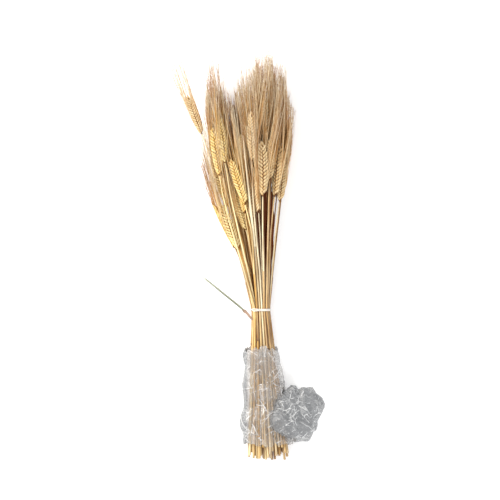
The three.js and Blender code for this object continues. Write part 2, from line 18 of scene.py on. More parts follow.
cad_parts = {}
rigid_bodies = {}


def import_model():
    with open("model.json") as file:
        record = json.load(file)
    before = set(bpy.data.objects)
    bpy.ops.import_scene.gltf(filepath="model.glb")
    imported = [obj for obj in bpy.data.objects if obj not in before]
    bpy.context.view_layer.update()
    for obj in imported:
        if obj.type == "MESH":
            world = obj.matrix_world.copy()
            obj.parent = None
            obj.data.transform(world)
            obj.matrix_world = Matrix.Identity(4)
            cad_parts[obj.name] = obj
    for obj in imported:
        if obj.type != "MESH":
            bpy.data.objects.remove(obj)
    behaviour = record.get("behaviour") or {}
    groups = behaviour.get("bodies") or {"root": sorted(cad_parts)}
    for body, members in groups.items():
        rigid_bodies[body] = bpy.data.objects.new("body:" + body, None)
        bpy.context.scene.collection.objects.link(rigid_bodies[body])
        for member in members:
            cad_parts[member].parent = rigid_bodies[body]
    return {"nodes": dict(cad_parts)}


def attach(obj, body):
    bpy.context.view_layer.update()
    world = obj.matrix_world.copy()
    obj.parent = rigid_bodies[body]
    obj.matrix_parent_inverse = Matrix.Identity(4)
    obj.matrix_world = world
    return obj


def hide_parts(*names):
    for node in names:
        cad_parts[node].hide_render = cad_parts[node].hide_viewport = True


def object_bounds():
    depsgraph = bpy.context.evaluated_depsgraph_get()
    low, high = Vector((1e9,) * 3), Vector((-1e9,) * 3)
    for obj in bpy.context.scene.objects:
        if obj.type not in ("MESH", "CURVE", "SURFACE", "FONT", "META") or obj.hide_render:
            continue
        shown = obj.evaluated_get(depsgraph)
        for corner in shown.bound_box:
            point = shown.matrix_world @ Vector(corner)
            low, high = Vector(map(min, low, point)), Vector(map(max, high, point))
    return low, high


bl_info = {
    "name": "Dried Wheat Bundle",
    "version": (1, 0, 0),
    "blender": (4, 5, 0),
    "location": "3D View > Sidebar > Wheat",
    "description": "Models a tied bundle of dried bearded wheat in a crumpled film sleeve",
    "category": "Object",
}

for leftover in list(bpy.data.objects):
    bpy.data.objects.remove(leftover)
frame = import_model()
SOLID_LOW, SOLID_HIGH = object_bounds()

MM = 0.001
BODY = "root"
SEED = 7
WHEAT_STALKS = sorted(name for name in frame["nodes"] if name.startswith("wheat_stalk"))
BARE_STRAWS = sorted(name for name in frame["nodes"] if name.startswith("bare_straw"))

# Where the band lies, and the film's upper and lower end
BAND_Y = -87 * MM
FILM_TOP = -140 * MM
FILM_END = -290 * MM
# The bundle at the band: its middle, and the height of its uppermost stalks
BUNDLE_X = 21 * MM
TOP_AT_BAND = 29 * MM
# No piece comes nearer to the table than this
ABOVE_TABLE = 0.2 * MM


# Colour, nodes and materials


def linear(colour):
    """An sRGB hex colour as the linear RGBA that sockets take."""
    parts = [int(colour[i : i + 2], 16) / 255 for i in (1, 3, 5)]
    return tuple(c / 12.92 if c <= 0.04045 else ((c + 0.055) / 1.055) ** 2.4 for c in parts) + (1.0,)


def add_node(tree, kind, inputs=(), output=0, **settings):
    """Adds a node with its settings and inputs (values, hex colours or sockets); gives one output."""
    node = tree.nodes.new("ShaderNode" + kind)
    for key, value in settings.items():
        setattr(node, key, value)
    for key, value in inputs.items() if isinstance(inputs, dict) else enumerate(inputs):
        if isinstance(value, bpy.types.NodeSocket):
            tree.links.new(value, node.inputs[key])
        else:
            node.inputs[key].default_value = linear(value) if isinstance(value, str) else value
    return node.outputs[output]


def new_material(name):
    """A material whose tree holds only its output, and that tree."""
    material = bpy.data.materials.new(name)
    material.use_nodes = True
    material.node_tree.nodes.clear()
    material.node_tree.nodes.new("ShaderNodeOutputMaterial").name = "out"
    return material, material.node_tree


def finished(material, shader):
    """The material with a shader linked to its output."""
    tree = material.node_tree
    tree.links.new(shader, tree.nodes["out"].inputs["Surface"])
    return material


def painted(tree, colour, *layers):
    """A colour with others laid over it in turn.

    Each layer is its colour, its cause, the cause's low and high value, and, unless they are 0 and
    1, the shares of the colour that belong to them.
    """
    for over, *cause in layers:
        share = add_node(tree, "MapRange", cause)
        colour = add_node(tree, "Mix", {0: share, 6: colour, 7: over}, 2, data_type="RGBA")
    return colour


def stretched_noise(tree, vector, across, along, detail=3.0):
    """Noise whose grains are `across` wide and `along` long, in metres."""
    scale = (1 / across, 1 / along, 1 / across)
    mapped = add_node(tree, "Mapping", {"Vector": vector, "Scale": scale})
    return add_node(tree, "TexNoise", {"Vector": mapped, "Scale": 1.0, "Detail": detail, "Roughness": 0.55})


# Dry straw and chaff keep only a thin worn wax, so they shine less than a smooth skin would
WAX = 0.22
# Typical values for plant fibre, natural rubber and polypropylene
FIBRE_IOR, RUBBER_IOR, FILM_IOR = 1.45, 1.52, 1.49
# The browns that straw, chaff and awns are painted deep in the bundle, as painted shade
PAINTED_SHADE_STRAW, PAINTED_SHADE_CHAFF, PAINTED_SHADE_AWN = "#6a2e0b", "#a65a1e", "#a85e26"


def straw_material(name, pale, mid, dark, roughness, inside=0.75):
    """Dry wheat straw: a waxy skin, silky along the stem, streaked, with fine ribs under it.

    `inside` says how much darker brown it is painted deep in the bundle, as painted shade.
    """
    material, tree = new_material(name)
    grain = add_node(tree, "Attribute", output="Vector", attribute_name="grain")
    tone = add_node(tree, "Attribute", output="Fac", attribute_name="tone")
    depth = add_node(tree, "Attribute", output="Fac", attribute_name="depth")
    # A stem's streaks are narrower than itself and run on for centimetres; its flecks are short
    streak = add_node(tree, "MapRange", (stretched_noise(tree, grain, 0.8 * MM, 45 * MM), 0.38, 0.62))
    brown = stretched_noise(tree, grain, 1.1 * MM, 90 * MM, 1.0)
    cloud = stretched_noise(tree, grain, 6 * MM, 26 * MM)
    fleck = stretched_noise(tree, grain, 0.9 * MM, 3.5 * MM)
    # Its last layer is painted shade: darker brown deep in the bundle
    colour = painted(
        tree, dark, (mid, tone, -1, 0.1), (pale, tone, 0.1, 1.0), (pale, streak, 0, 1, 0, 0.45),
        (dark, brown, 0.52, 0.68, 0, 0.6), (dark, cloud, 0.35, 0.6, 0.3, 0),
        ("#7c5228", fleck, 0.66, 0.74, 0, 0.5), (PAINTED_SHADE_STRAW, depth, 3 * MM, 13 * MM, 0, inside),
    )
    ribs = stretched_noise(tree, grain, 0.35 * MM, 40 * MM, 1.0)
    bump = add_node(tree, "Bump", {"Strength": 0.4, "Distance": 0.12 * MM, "Height": ribs})
    rough = add_node(tree, "MapRange", (streak, 0, 1, roughness - 0.06, roughness + 0.08))
    inputs = {"Base Color": colour, "Roughness": rough, "IOR": FIBRE_IOR, "Normal": bump}
    return finished(material, add_node(tree, "BsdfPrincipled", inputs | {"Specular IOR Level": WAX}))


def husk_material(name, pale, mid, dark):
    """Chaff: thin dry scales, matt, with fine nerves that run up to the point."""
    material, tree = new_material(name)
    grain = add_node(tree, "Attribute", output="Vector", attribute_name="grain")
    tone, tip, depth = (
        add_node(tree, "Attribute", output="Fac", attribute_name=mark) for mark in ("tone", "tip", "depth")
    )
    nerves = stretched_noise(tree, grain, 0.55 * MM, 14 * MM, 1.5)
    # The root of each scale lies in its neighbour's shade and is painted dark, as painted shade; its tip is
    # painted paler, as a painted highlight; deep in the bundle the chaff is painted browner, as painted shade
    colour = painted(
        tree, dark, (mid, tone, -1, 0), (pale, tone, 0, 0.9),
        (dark, tip, 0.3, 0.52, 0.95, 0), (pale, tip, 0.5, 0.9, 0, 0.5),
        (dark, nerves, 0.35, 0.65, 0.25, 0), (PAINTED_SHADE_CHAFF, depth, 22 * MM, 48 * MM, 0, 0.65),
    )
    bump = add_node(tree, "Bump", {"Strength": 0.5, "Distance": 0.15 * MM, "Height": nerves})
    inputs = {"Base Color": colour, "Roughness": 0.6, "IOR": FIBRE_IOR, "Normal": bump}
    return finished(material, add_node(tree, "BsdfPrincipled", inputs | {"Specular IOR Level": WAX}))


def awn_material(name, root, mid):
    """Awns: stiff bristles, the chaff's colour at their root, tan further out and greyer at the tip."""
    material, tree = new_material(name)
    tone, tip, depth = (
        add_node(tree, "Attribute", output="Fac", attribute_name=mark) for mark in ("tone", "tip", "depth")
    )
    worn = painted(tree, "#ac9272", ("#e0d4bc", tone, -0.8, 1.0))
    # Its last layer is painted shade: browner deep in the bundle
    colour = painted(
        tree, "#a05f2a", (mid, tone, -1.0, 0.1), ("#fcecc4", tone, 0.1, 1.1),
        (root, tip, 0.05, 0.6, 0.35, 0), (worn, tip, 0.3, 0.9, 0, 0.8),
        (PAINTED_SHADE_AWN, depth, 12 * MM, 42 * MM, 0, 0.6),
    )
    inputs = {"Base Color": colour, "Roughness": 0.5, "IOR": FIBRE_IOR, "Specular IOR Level": WAX}
    return finished(material, add_node(tree, "BsdfPrincipled", inputs))


def pith_material():
    """The cut wall and the pith inside a straw: pale, spongy and matt."""
    material, tree = new_material("straw_pith")
    grain = add_node(tree, "Attribute", output="Vector", attribute_name="grain")
    pores = stretched_noise(tree, grain, 0.3 * MM, 0.3 * MM, 2.0)
    colour = painted(tree, "#b58f58", ("#ecd7a4", pores, 0.35, 0.65))
    inputs = {"Base Color": colour, "Roughness": 0.85, "IOR": 1.4}
    return finished(material, add_node(tree, "BsdfPrincipled", inputs))


def rubber_material(white):
    """White natural rubber: satin, faintly warm, a little dusty."""
    material, tree = new_material("white_rubber")
    place = add_node(tree, "TexCoord", output="Object")
    dust = stretched_noise(tree, place, 1.2 * MM, 1.2 * MM)
    colour = painted(tree, white, ("#ddd3c2", dust, 0.4, 0.7))
    bump = add_node(tree, "Bump", {"Strength": 0.2, "Distance": 0.08 * MM, "Height": dust})
    inputs = {"Base Color": colour, "Roughness": 0.5, "IOR": RUBBER_IOR, "Normal": bump}
    inputs |= {"Subsurface Weight": 0.15, "Subsurface Scale": 1 * MM}
    return finished(material, add_node(tree, "BsdfPrincipled", inputs))


def leaf_material(green):
    """A dried flag leaf: brown and papery at its root, grey-green where it has rolled up."""
    material, tree = new_material("dried_leaf")
    grain = add_node(tree, "Attribute", output="Vector", attribute_name="grain")
    tip = add_node(tree, "Attribute", output="Fac", attribute_name="tip")
    # A blade's veins lie about a third of a millimetre apart
    veins = stretched_noise(tree, grain, 0.35 * MM, 40 * MM, 2.0)
    blotch = stretched_noise(tree, grain, 2.5 * MM, 7 * MM)
    rolled = painted(tree, "#8b8f7c", (green, veins, 0.3, 0.7))
    blotched = ("#8a6444", blotch, 0.5, 0.7, 0, 0.6)
    colour = painted(tree, "#8f7160", ("#b99f8c", veins, 0.3, 0.7), blotched, (rolled, tip, 0.23, 0.28))
    bump = add_node(tree, "Bump", {"Strength": 0.6, "Distance": 0.15 * MM, "Height": veins})
    inputs = {"Base Color": colour, "Roughness": 0.7, "IOR": FIBRE_IOR, "Normal": bump}
    return finished(material, add_node(tree, "BsdfPrincipled", inputs))


def facets(tree, vector, size, inputs):
    """The normal of a sheet crumpled into flat facets, each about `size` metres across."""
    tint = add_node(tree, "TexVoronoi", {"Vector": vector, "Scale": 1 / size}, "Color")
    tilt = add_node(tree, "VectorMath", (tint, (0.5, 0.5, 0.5)), operation="SUBTRACT")
    away = add_node(tree, "VectorMath", (vector, tint.node.outputs["Position"]), operation="SUBTRACT")
    height = add_node(tree, "VectorMath", (tilt, away), "Value", operation="DOT_PRODUCT")
    return add_node(tree, "Bump", {"Distance": 1.0, "Height": height} | inputs)


# The ways across the film's straight creases, and how far apart, how wide and how patchy they are
CREASE_WAYS = (
    (0.8, 0.55, 0.24), (-0.35, 0.9, 0.26), (0.97, -0.17, 0.17),
    (-0.7, 0.62, 0.35), (0.2, 0.95, -0.24), (0.6, -0.72, 0.35),
)
CREASE_SIZES = ((15 * MM, 0.6 * MM, 0.56), (5 * MM, 0.4 * MM, 0.64))


def crease_lines(tree, vector, way, spacing, width, chosen):
    """Thin straight white creases, partly whitened film and partly painted highlights, that run across a way,
    cut into strokes by a patchy noise.
    """
    along = add_node(tree, "VectorMath", (vector, way), "Value", operation="DOT_PRODUCT")
    settings = {"voronoi_dimensions": "1D", "feature": "DISTANCE_TO_EDGE"}
    edges = add_node(tree, "TexVoronoi", {"W": along, "Scale": 1 / spacing}, "Distance", **settings)
    line = add_node(tree, "MapRange", (edges, 0.0, width / spacing, 1.0, 0.0))
    aside = add_node(tree, "VectorMath", (vector, way), operation="ADD")
    patch = stretched_noise(tree, aside, 1.2 * spacing, 1.2 * spacing, 1.0)
    kept = add_node(tree, "MapRange", (patch, chosen, chosen + 0.08))
    return add_node(tree, "Math", (line, kept), operation="MULTIPLY")


def film_material():
    """Clear polypropylene film: glossy and nearly colourless, white along its creases, partly whitened film
    and partly painted highlights, and painted darker where it is bunched, as painted shade.
    """
    material, tree = new_material("clear_film")
    place = add_node(tree, "TexCoord", output="Object")
    bunch = add_node(tree, "Attribute", output="Fac", attribute_name="bunch")
    fold = add_node(tree, "Attribute", output="Fac", attribute_name="fold")
    edge = add_node(tree, "LayerWeight", {"Blend": 0.35}, "Facing")
    crease = 0.0
    for way in CREASE_WAYS:
        for size in CREASE_SIZES:
            lines = crease_lines(tree, place, way, *size)
            crease = add_node(tree, "Math", (crease, lines), operation="MAXIMUM")
    crushed = add_node(tree, "MapRange", (stretched_noise(tree, place, 26 * MM, 26 * MM, 1.0), 0.32, 0.48))
    crease = add_node(tree, "Math", (crease, crushed), operation="MULTIPLY")
    # The sharp creases and pleats are painted white: partly whitened film, partly painted highlights on their
    # ridges
    pressed = add_node(tree, "MapRange", (fold, 0.52, 1.0, 0.0, 0.85))
    crease = add_node(tree, "Math", (crease, pressed), operation="MAXIMUM")
    normal = facets(tree, place, 9 * MM, {"Strength": 0.22})
    normal = facets(tree, place, 3.5 * MM, {"Strength": 0.12, "Normal": normal})
    # Greyer edge on, painted darker where the film is bunched or layered, as the painted shade of its layers
    # on each other, and white along its creases, partly as painted highlights
    colour = painted(
        tree, "#beb9b5", ("#7f868a", edge, 0.3, 1.0), ("#7c8186", bunch, 0.4, 0.95, 0.0, 0.8),
        ("#ffffff", crease, 0, 1),
    )
    # How much the film veils what is under it: by facet, by layers, at its turned-in end and edge on
    tint = add_node(tree, "TexVoronoi", {"Vector": place, "Scale": 1 / (9 * MM)}, "Color")
    veil = add_node(tree, "MapRange", (add_node(tree, "SeparateXYZ", (tint,)), 0.0, 1.0, 0.1, 0.22))
    height = add_node(tree, "SeparateXYZ", (place,), "Y")
    for cause, low, high, most in (
        (bunch, 0.0, 1.0, 0.27), (height, -190 * MM, -168 * MM, 0.12), (edge, 0.25, 0.9, 0.26),
    ):
        more = add_node(tree, "MapRange", (cause, low, high, 0.0, most))
        veil = add_node(tree, "Math", (veil, more), operation="ADD")
    alpha = add_node(tree, "Math", (veil, crease), operation="MAXIMUM", use_clamp=True)
    inputs = {"Base Color": colour, "Roughness": 0.5, "IOR": FILM_IOR, "Normal": normal, "Alpha": alpha}
    body = add_node(tree, "BsdfPrincipled", inputs)
    shine = add_node(tree, "BsdfGlossy", {"Color": (1, 1, 1, 1), "Roughness": 0.2, "Normal": normal})
    mirror = add_node(tree, "Fresnel", {"IOR": FILM_IOR, "Normal": normal})
    share = add_node(tree, "MapRange", (mirror, 0.0, 1.0, 0.0, 0.55))
    return finished(material, add_node(tree, "MixShader", (share, body, shine)))


def floor_material():
    """The plain white table, lit a little from below so that shadows on it stay faint."""
    material, tree = new_material("white_light_table")
    inputs = {"Base Color": "#ececeb", "Roughness": 0.9}
    inputs |= {"Emission Color": (1, 1, 1, 1), "Emission Strength": 0.36}
    return finished(material, add_node(tree, "BsdfPrincipled", inputs))


# Reading the solids

# How far apart a stalk's sections are taken
LEVEL_STEP = 2 * MM
# The solids' straws have five sides, so their section's area is this times the radius squared
PENTAGON = 2.5 * math.sin(math.radians(72))
# An ear begins where the stalk grows this much thicker than its thinnest place below
EAR_SWELL = 1.25


@functools.cache
def merged_solid(name):
    """A solid's corners with doubles merged, and its triangles, as arrays."""
    mesh = frame["nodes"][name].data
    corners = np.zeros(len(mesh.vertices) * 3)
    mesh.vertices.foreach_get("co", corners)
    faces = np.zeros(len(mesh.polygons) * 3, int)
    mesh.polygons.foreach_get("vertices", faces)
    points, index = np.unique(np.round(corners.reshape(-1, 3), 6), axis=0, return_inverse=True)
    return points, index.reshape(-1)[faces].reshape(-1, 3)


def needle_tips(points, faces):
    """The solid's awns: the middle of each one's neck ring and its tip."""
    around = [set() for _ in points]
    for a, b, c in faces:
        around[a].update((b, c))
        around[b].update((a, c))
        around[c].update((a, b))
    tips = []
    for number, near in enumerate(around):
        if len(near) != 3:
            continue
        ring = points[list(near)]
        neck = ring.mean(0)
        slim = np.linalg.norm(ring - neck, axis=1).max() < 0.8 * MM
        if slim and np.linalg.norm(points[number] - neck) > 3 * MM:
            tips.append((neck, points[number]))
    return tips


def section_at(points, faces, y):
    """Area, middle (x, z) and second moments about the origin of a closed solid's section at y."""
    corners = points[faces]
    above = corners[:, :, 1] > y
    crossed = above.any(1) & ~above.all(1)
    corners, above = corners[crossed], above[crossed]
    following, above_next = np.roll(corners, -1, 1), np.roll(above, -1, 1)
    drop = np.where(above == above_next, 1.0, following[:, :, 1] - corners[:, :, 1])
    places = corners + ((y - corners[:, :, 1]) / drop)[:, :, None] * (following - corners)
    p = places[~above & above_next][:, [0, 2]]
    q = places[above & ~above_next][:, [0, 2]]
    cross = p[:, 0] * q[:, 1] - p[:, 1] * q[:, 0]
    area = cross.sum() / 2
    if abs(area) < 1e-9:
        return 0.0, np.zeros(2), np.zeros((2, 2))
    first = (cross[:, None] * (p + q)).sum(0) / 6
    pairs = [np.einsum("n,ni,nj->ij", cross, a, b) for a, b in ((p, p), (q, q), (p + q, p + q))]
    return abs(area), first / area, sum(pairs) / (24 * area)


def steady_fit(heights, values):
    """A parabola through values along the heights that outliers don't pull."""
    trust = np.ones(len(heights))
    for _ in range(8):
        fit = np.polyfit(heights, values, 2, w=trust)
        trust = 1 / (1 + (np.abs(np.polyval(fit, heights) - values) / MM) ** 2)
    return fit


@functools.cache
def read_stalk(name):
    """A stalk's line from its cut end to its top, its radii, its awns, and its ear's base and flat side."""
    points, faces = merged_solid(name)
    tips = needle_tips(points, faces)
    low = points[:, 1].min()
    high = max([neck[1] for neck, _ in tips], default=points[:, 1].max())
    levels = np.arange(low + 1 * MM, high - 1 * MM, LEVEL_STEP)
    sections = [section_at(points, faces, y) for y in levels]
    areas = np.array([area for area, _, _ in sections])
    radii = np.sqrt(areas / PENTAGON)
    middles = np.array([middle for _, middle, _ in sections])
    stalk = {"name": name, "low": low, "high": high, "tips": tips}
    if not tips:
        stalk.update(base=high, line=smoothed_line(levels, middles), radii=(levels, radii))
        return stalk
    swell = np.nonzero(radii > EAR_SWELL * np.minimum.accumulate(radii))[0]
    base = levels[swell[swell > 0.4 * len(levels)][0]] - LEVEL_STEP
    ear = levels > base + 4 * MM
    fits = [steady_fit(levels[ear] - base, middles[ear][:, i]) for i in (0, 1)]
    on_ear = np.stack([np.polyval(fit, levels[ear] - base) for fit in fits], 1)
    spread = np.zeros((2, 2))
    for k, place in zip(np.nonzero(ear)[0], on_ear):
        if np.linalg.norm(middles[k] - place) < 4 * MM:
            spread += areas[k] * (sections[k][2] - np.outer(middles[k], middles[k]))
            spread += areas[k] * np.outer(middles[k] - place, middles[k] - place)
    values, ways = np.linalg.eigh(spread)
    flat = ways[:, np.argmax(values)]
    stem = levels < base
    joined = (np.concatenate([levels[stem], levels[ear]]), np.concatenate([middles[stem], on_ear]))
    stalk.update(base=base, line=smoothed_line(*joined), radii=(levels[stem], radii[stem]))
    stalk["flat"] = flat * (1 if flat[0] > 0 else -1)
    return stalk


def between(values, known, at):
    """The rows of an array, which are known at some places, at other places."""
    return np.stack([np.interp(at, known, column) for column in values.T], 1)


def rows_at(values, at):
    """The rows of an array at fractional row numbers."""
    return between(values, np.arange(len(values)), at)


def smoothed(values, window, kind="valid"):
    """The columns of an array, each smoothed by a window."""
    return np.stack([np.convolve(column, window / window.sum(), kind) for column in values.T], 1)


def unit(vectors):
    """Vectors at length 1."""
    return vectors / np.linalg.norm(vectors, axis=-1, keepdims=True)


def smoothed_line(levels, middles):
    """A stalk's line with its bends rounded: heights along Y and their (x, z)."""
    even = np.arange(levels[0], levels[-1] + 1 * MM, LEVEL_STEP)
    half = 5
    padded = np.pad(between(middles, levels, even), ((half, half), (0, 0)), "reflect", reflect_type="odd")
    return even, smoothed(padded, np.hanning(2 * half + 3)[1:-1])


def line_at(line, y):
    """Points of a line at heights y, going on straight past its ends."""
    even, places = line
    points = np.stack([np.interp(y, even, places[:, 0]), y, np.interp(y, even, places[:, 1])], 1)
    for end, inner, past in ((0, 8, y < even[0]), (-1, -9, y > even[-1])):
        slope = (places[end] - places[inner]) / (even[end] - even[inner])
        points[past, 0] = places[end, 0] + slope[0] * (y[past] - even[end])
        points[past, 2] = places[end, 1] + slope[1] * (y[past] - even[end])
    return points


def point_at(line, y):
    """A line's point at one height."""
    return line_at(line, np.array([y]))[0]


def frames_along(points):
    """The heading of a run of points at each of them, the way across it and the way up."""
    along = unit(np.gradient(points, axis=0))
    across = unit(np.cross(along, [0.0, 0.0, 1.0]))
    return along, across, np.cross(across, along)


# Modelling tools


def fresh_start():
    """Nothing selected, in object mode."""
    if bpy.context.object is not None and bpy.context.object.mode != "OBJECT":
        bpy.ops.object.mode_set(mode="OBJECT")
    bpy.ops.object.select_all(action="DESELECT")


def pick(kind, test):
    """In edit mode, selects the vertices, edges or faces that pass the test, and nothing else."""
    mesh = bmesh.from_edit_mesh(bpy.context.object.data)
    bpy.ops.mesh.select_mode(type={"verts": "VERT", "edges": "EDGE", "faces": "FACE"}[kind])
    bpy.ops.mesh.select_all(action="DESELECT")
    for item in getattr(mesh, kind):
        item.select_set(bool(test(item)))
    mesh.select_flush_mode()
    bmesh.update_edit_mesh(bpy.context.object.data)


def runs_up(edge, least):
    """Whether an edge's ends differ in height by more than this."""
    return abs(edge.verts[0].co.z - edge.verts[1].co.z) > least


def taken_template():
    """The modelled object's corners, faces and face marks, and the object itself removed."""
    bpy.ops.object.mode_set(mode="OBJECT")
    made = bpy.context.object
    corners = np.array([v.co for v in made.data.vertices])
    faces = [tuple(p.vertices) for p in made.data.polygons]
    marks = np.array([p.material_index for p in made.data.polygons])
    bpy.data.objects.remove(made)
    return corners, faces, marks


STRAW_SIDES, STRAW_RINGS = 10, 72
# The straw's wall and the depth of its open end, for a radius and a ring's distance of 1
STRAW_WALL, STRAW_HOLLOW = 0.36, 0.9
HUSK_WIDTH, HUSK_DEPTH = 0.37, 0.27
AWN_RUNS = 7


def model_straw():
    """A straw of radius 1 whose rings lie 1 apart, hollow at its cut end and closed at its top."""
    fresh_start()
    bpy.ops.mesh.primitive_cylinder_add(vertices=STRAW_SIDES, radius=1, depth=STRAW_RINGS)
    bpy.ops.object.mode_set(mode="EDIT")
    pick("edges", lambda edge: runs_up(edge, 1))
    bpy.ops.mesh.subdivide(number_cuts=STRAW_RINGS - 1)
    bpy.ops.mesh.select_all(action="SELECT")
    bpy.ops.transform.translate(value=(0, 0, STRAW_RINGS / 2))
    pick("faces", lambda face: len(face.verts) == STRAW_SIDES and face.calc_center_median().z < 0.5)
    bpy.ops.mesh.inset(thickness=STRAW_WALL)
    bpy.ops.mesh.extrude_region_move(TRANSFORM_OT_translate={"value": (0, 0, STRAW_HOLLOW)})
    bpy.ops.transform.resize(value=(0.9, 0.9, 1))
    mesh = bmesh.from_edit_mesh(bpy.context.object.data)
    for face in mesh.faces:
        height = face.calc_center_median().z
        inner = max(math.hypot(v.co.x, v.co.y) for v in face.verts) < 0.8
        face.material_index = 1 if (inner and height < 2) or height < 0.01 else 0
    return taken_template()


def model_husk():
    """One scale of chaff, 1 long: boat-shaped, keeled down its back and drawn out to a point."""
    fresh_start()
    bpy.ops.mesh.primitive_uv_sphere_add(segments=6, ring_count=6, radius=0.5)
    bpy.ops.object.mode_set(mode="EDIT")
    bpy.ops.mesh.select_all(action="SELECT")
    bpy.ops.transform.translate(value=(0, 0, 0.5))
    bpy.ops.transform.resize(value=(HUSK_WIDTH, HUSK_DEPTH, 1), center_override=(0, 0, 0))
    for above, squeeze, bow in ((0.3, 1.04, -0.01), (0.6, 0.86, 0.01), (0.85, 0.55, 0.03)):
        pick("verts", lambda vert: vert.co.z > above)
        bpy.ops.transform.resize(value=(squeeze, squeeze, 1), center_override=(0, 0, 0))
        bpy.ops.transform.translate(value=(0, bow, 0))
    pick("verts", lambda vert: vert.co.y < -0.02 and abs(vert.co.x) < 0.02 and 0.1 < vert.co.z < 0.97)
    bpy.ops.transform.translate(value=(0, -0.03, 0))
    return taken_template()


def model_awn():
    """A bristle of length 1 that tapers to a fine point."""
    fresh_start()
    bpy.ops.mesh.primitive_cone_add(vertices=3, radius1=1, radius2=0.4, depth=1)
    bpy.ops.object.mode_set(mode="EDIT")
    pick("edges", lambda edge: runs_up(edge, 0.5))
    bpy.ops.mesh.subdivide(number_cuts=AWN_RUNS - 1)
    bpy.ops.mesh.select_all(action="SELECT")
    bpy.ops.transform.translate(value=(0, 0, 0.5))
    return taken_template()


def bent(template, points, radii, rings):
    """A template's corners set along a line: its z counts the line's points, its x and y stand off it."""
    corners = template[0]
    _, across, up = frames_along(points)
    at = corners[:, 2] * rings
    radius = np.interp(at, np.arange(len(points)), radii)[:, None]
    beside = corners[:, :1] * rows_at(across, at) + corners[:, 1:2] * rows_at(up, at)
    return rows_at(points, at) + radius * beside


class Growing:
    """Collects copies of templates with their marks, and makes them one piece."""

    def __init__(self):
        self.corners, self.faces, self.marks = [], [], []
        self.tone, self.tip, self.grain = [], [], []
        self.count = 0

    def add(self, template, corners, tone, tip, grain, mark=0):
        """Adds one copy of a template, its corners already in place."""
        self.corners.append(corners)
        self.faces.extend(tuple(i + self.count for i in face) for face in template[1])
        self.marks.append(template[2] + mark)
        self.tone.append(np.broadcast_to(tone, len(corners)))
        self.tip.append(np.broadcast_to(tip, len(corners)))
        self.grain.append(grain)
        self.count += len(corners)

    def made(self, name, materials):
        """The piece, with its attributes and materials, held above the table."""
        corners = np.concatenate(self.corners)
        corners[:, 2] = np.maximum(corners[:, 2], ABOVE_TABLE)
        piece = new_piece(name, corners, self.faces)
        for material in materials:
            piece.data.materials.append(material)
        piece.data.polygons.foreach_set("material_index", np.concatenate(self.marks).astype(np.int32))
        for key in ("tone", "tip", "grain"):
            write_attribute(piece.data, key, np.concatenate(getattr(self, key)))
        # How far below the bundle's upper side each corner lies, where the materials paint shade
        write_attribute(piece.data, "depth", depth_in_bundle(corners))
        return piece


def new_piece(name, corners, faces):
    """A smooth-shaded object of its own mesh."""
    mesh = bpy.data.meshes.new(name)
    mesh.from_pydata(corners.tolist(), [], faces)
    mesh.shade_smooth()
    piece = bpy.data.objects.new(name, mesh)
    bpy.context.scene.collection.objects.link(piece)
    return piece


CELL = 3 * MM


@functools.cache
def crown_map():
    """The bundle's upper side: the greatest height of its solids in each cell across and along it."""
    size = np.ceil((np.array(SOLID_HIGH) - np.array(SOLID_LOW))[:2] / CELL).astype(int) + 3
    heights = np.zeros(size)
    for name in WHEAT_STALKS + BARE_STRAWS:
        points, faces = merged_solid(name)
        for first, second in ((0, 1), (1, 2), (2, 0)):
            start, end = points[faces[:, first]], points[faces[:, second]]
            for share in np.linspace(0, 1, 40):
                place = start + share * (end - start)
                cell = ((place[:, :2] - SOLID_LOW[:2]) / CELL).astype(int) + 1
                np.maximum.at(heights, (cell[:, 0], cell[:, 1]), place[:, 2])
    around = [np.roll(heights, (i, j), (0, 1)) for i in (-1, 0, 1) for j in (-1, 0, 1)]
    return np.maximum.reduce(around)


def depth_in_bundle(corners):
    """How far each corner lies below the bundle's upper side."""
    heights = crown_map()
    cell = ((corners[:, :2] - SOLID_LOW[:2]) / CELL).astype(int) + 1
    cell = np.clip(cell, 0, np.array(heights.shape) - 1)
    return np.maximum(0, heights[cell[:, 0], cell[:, 1]] - corners[:, 2])


def write_attribute(mesh, name, values):
    """A number or a vector for each point of a mesh."""
    kind, key = ("FLOAT", "value") if values.ndim == 1 else ("FLOAT_VECTOR", "vector")
    mesh.attributes.new(name, kind, "POINT").data.foreach_set(key, values.astype(np.float32).ravel())


def placed(piece, node):
    """Rides a finished piece on the bundle, in place of its solid."""
    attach(piece, BODY)
    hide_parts(node)


# Stalks

# A stalk's list of materials: its straw's skin and pith come first, then these
CHAFF, AWNS, BLADE = 2, 3, 4

# A tone of about -1 is brown and of 1 pale. The side of a straw, across and up, that faces the light, and by
# how much it is painted paler there and darker on its far side: painted light and shade
LIT_SIDE = np.array([-0.5, 0.85])
PAINTED_LIGHT_AND_SHADE = 0.95
# A knot's swelling: how far from its middle, in millimetres, and how thick for the straw
KNOT = ((-2.6, 1.0), (-1.3, 1.1), (-0.5, 1.24), (0.5, 1.24), (1.3, 1.12), (2.6, 1.02))
KNOT_SHADE, KNOT_SHADED = -1.6, 1.6 * MM
# A leaf sheath, and the loose one round the first bare straw, which is paler than the straw
SHEATH_THICK, LOOSE_SHEATH_THICK = 0.35 * MM, 1.0 * MM
SHEATH_SHADE, LOOSE_SHEATH_SHADE = -0.75, 0.75
SHEATH_EDGE = 11 * MM
# The bare straws have bleached above a height, and grow browner over a length below it
PALE_FROM, PALE_FADE, UNBLEACHED = 40 * MM, 60 * MM, -0.9
# How much of their tone the straws keep under the film, and how much paler their dusty cut ends are
FILM_KEEPS, FILM_PALER, CUT_END_PALER = 0.55, 0.1, 0.35

# The withered leaf blades that cling to the lower stalks, in the middle of the bundle, below them; their
# colour is partly their own and partly painted light and shade in the gaps between the stalks
BLADE_HALF_WIDTH = 4.6 * MM
BLADE_HALF_THICK = 0.3 * MM
BLADE_BELOW_STRAW = 2.4 * MM
LOW_AT_BAND = 22 * MM
INSIDE = 10.5 * MM
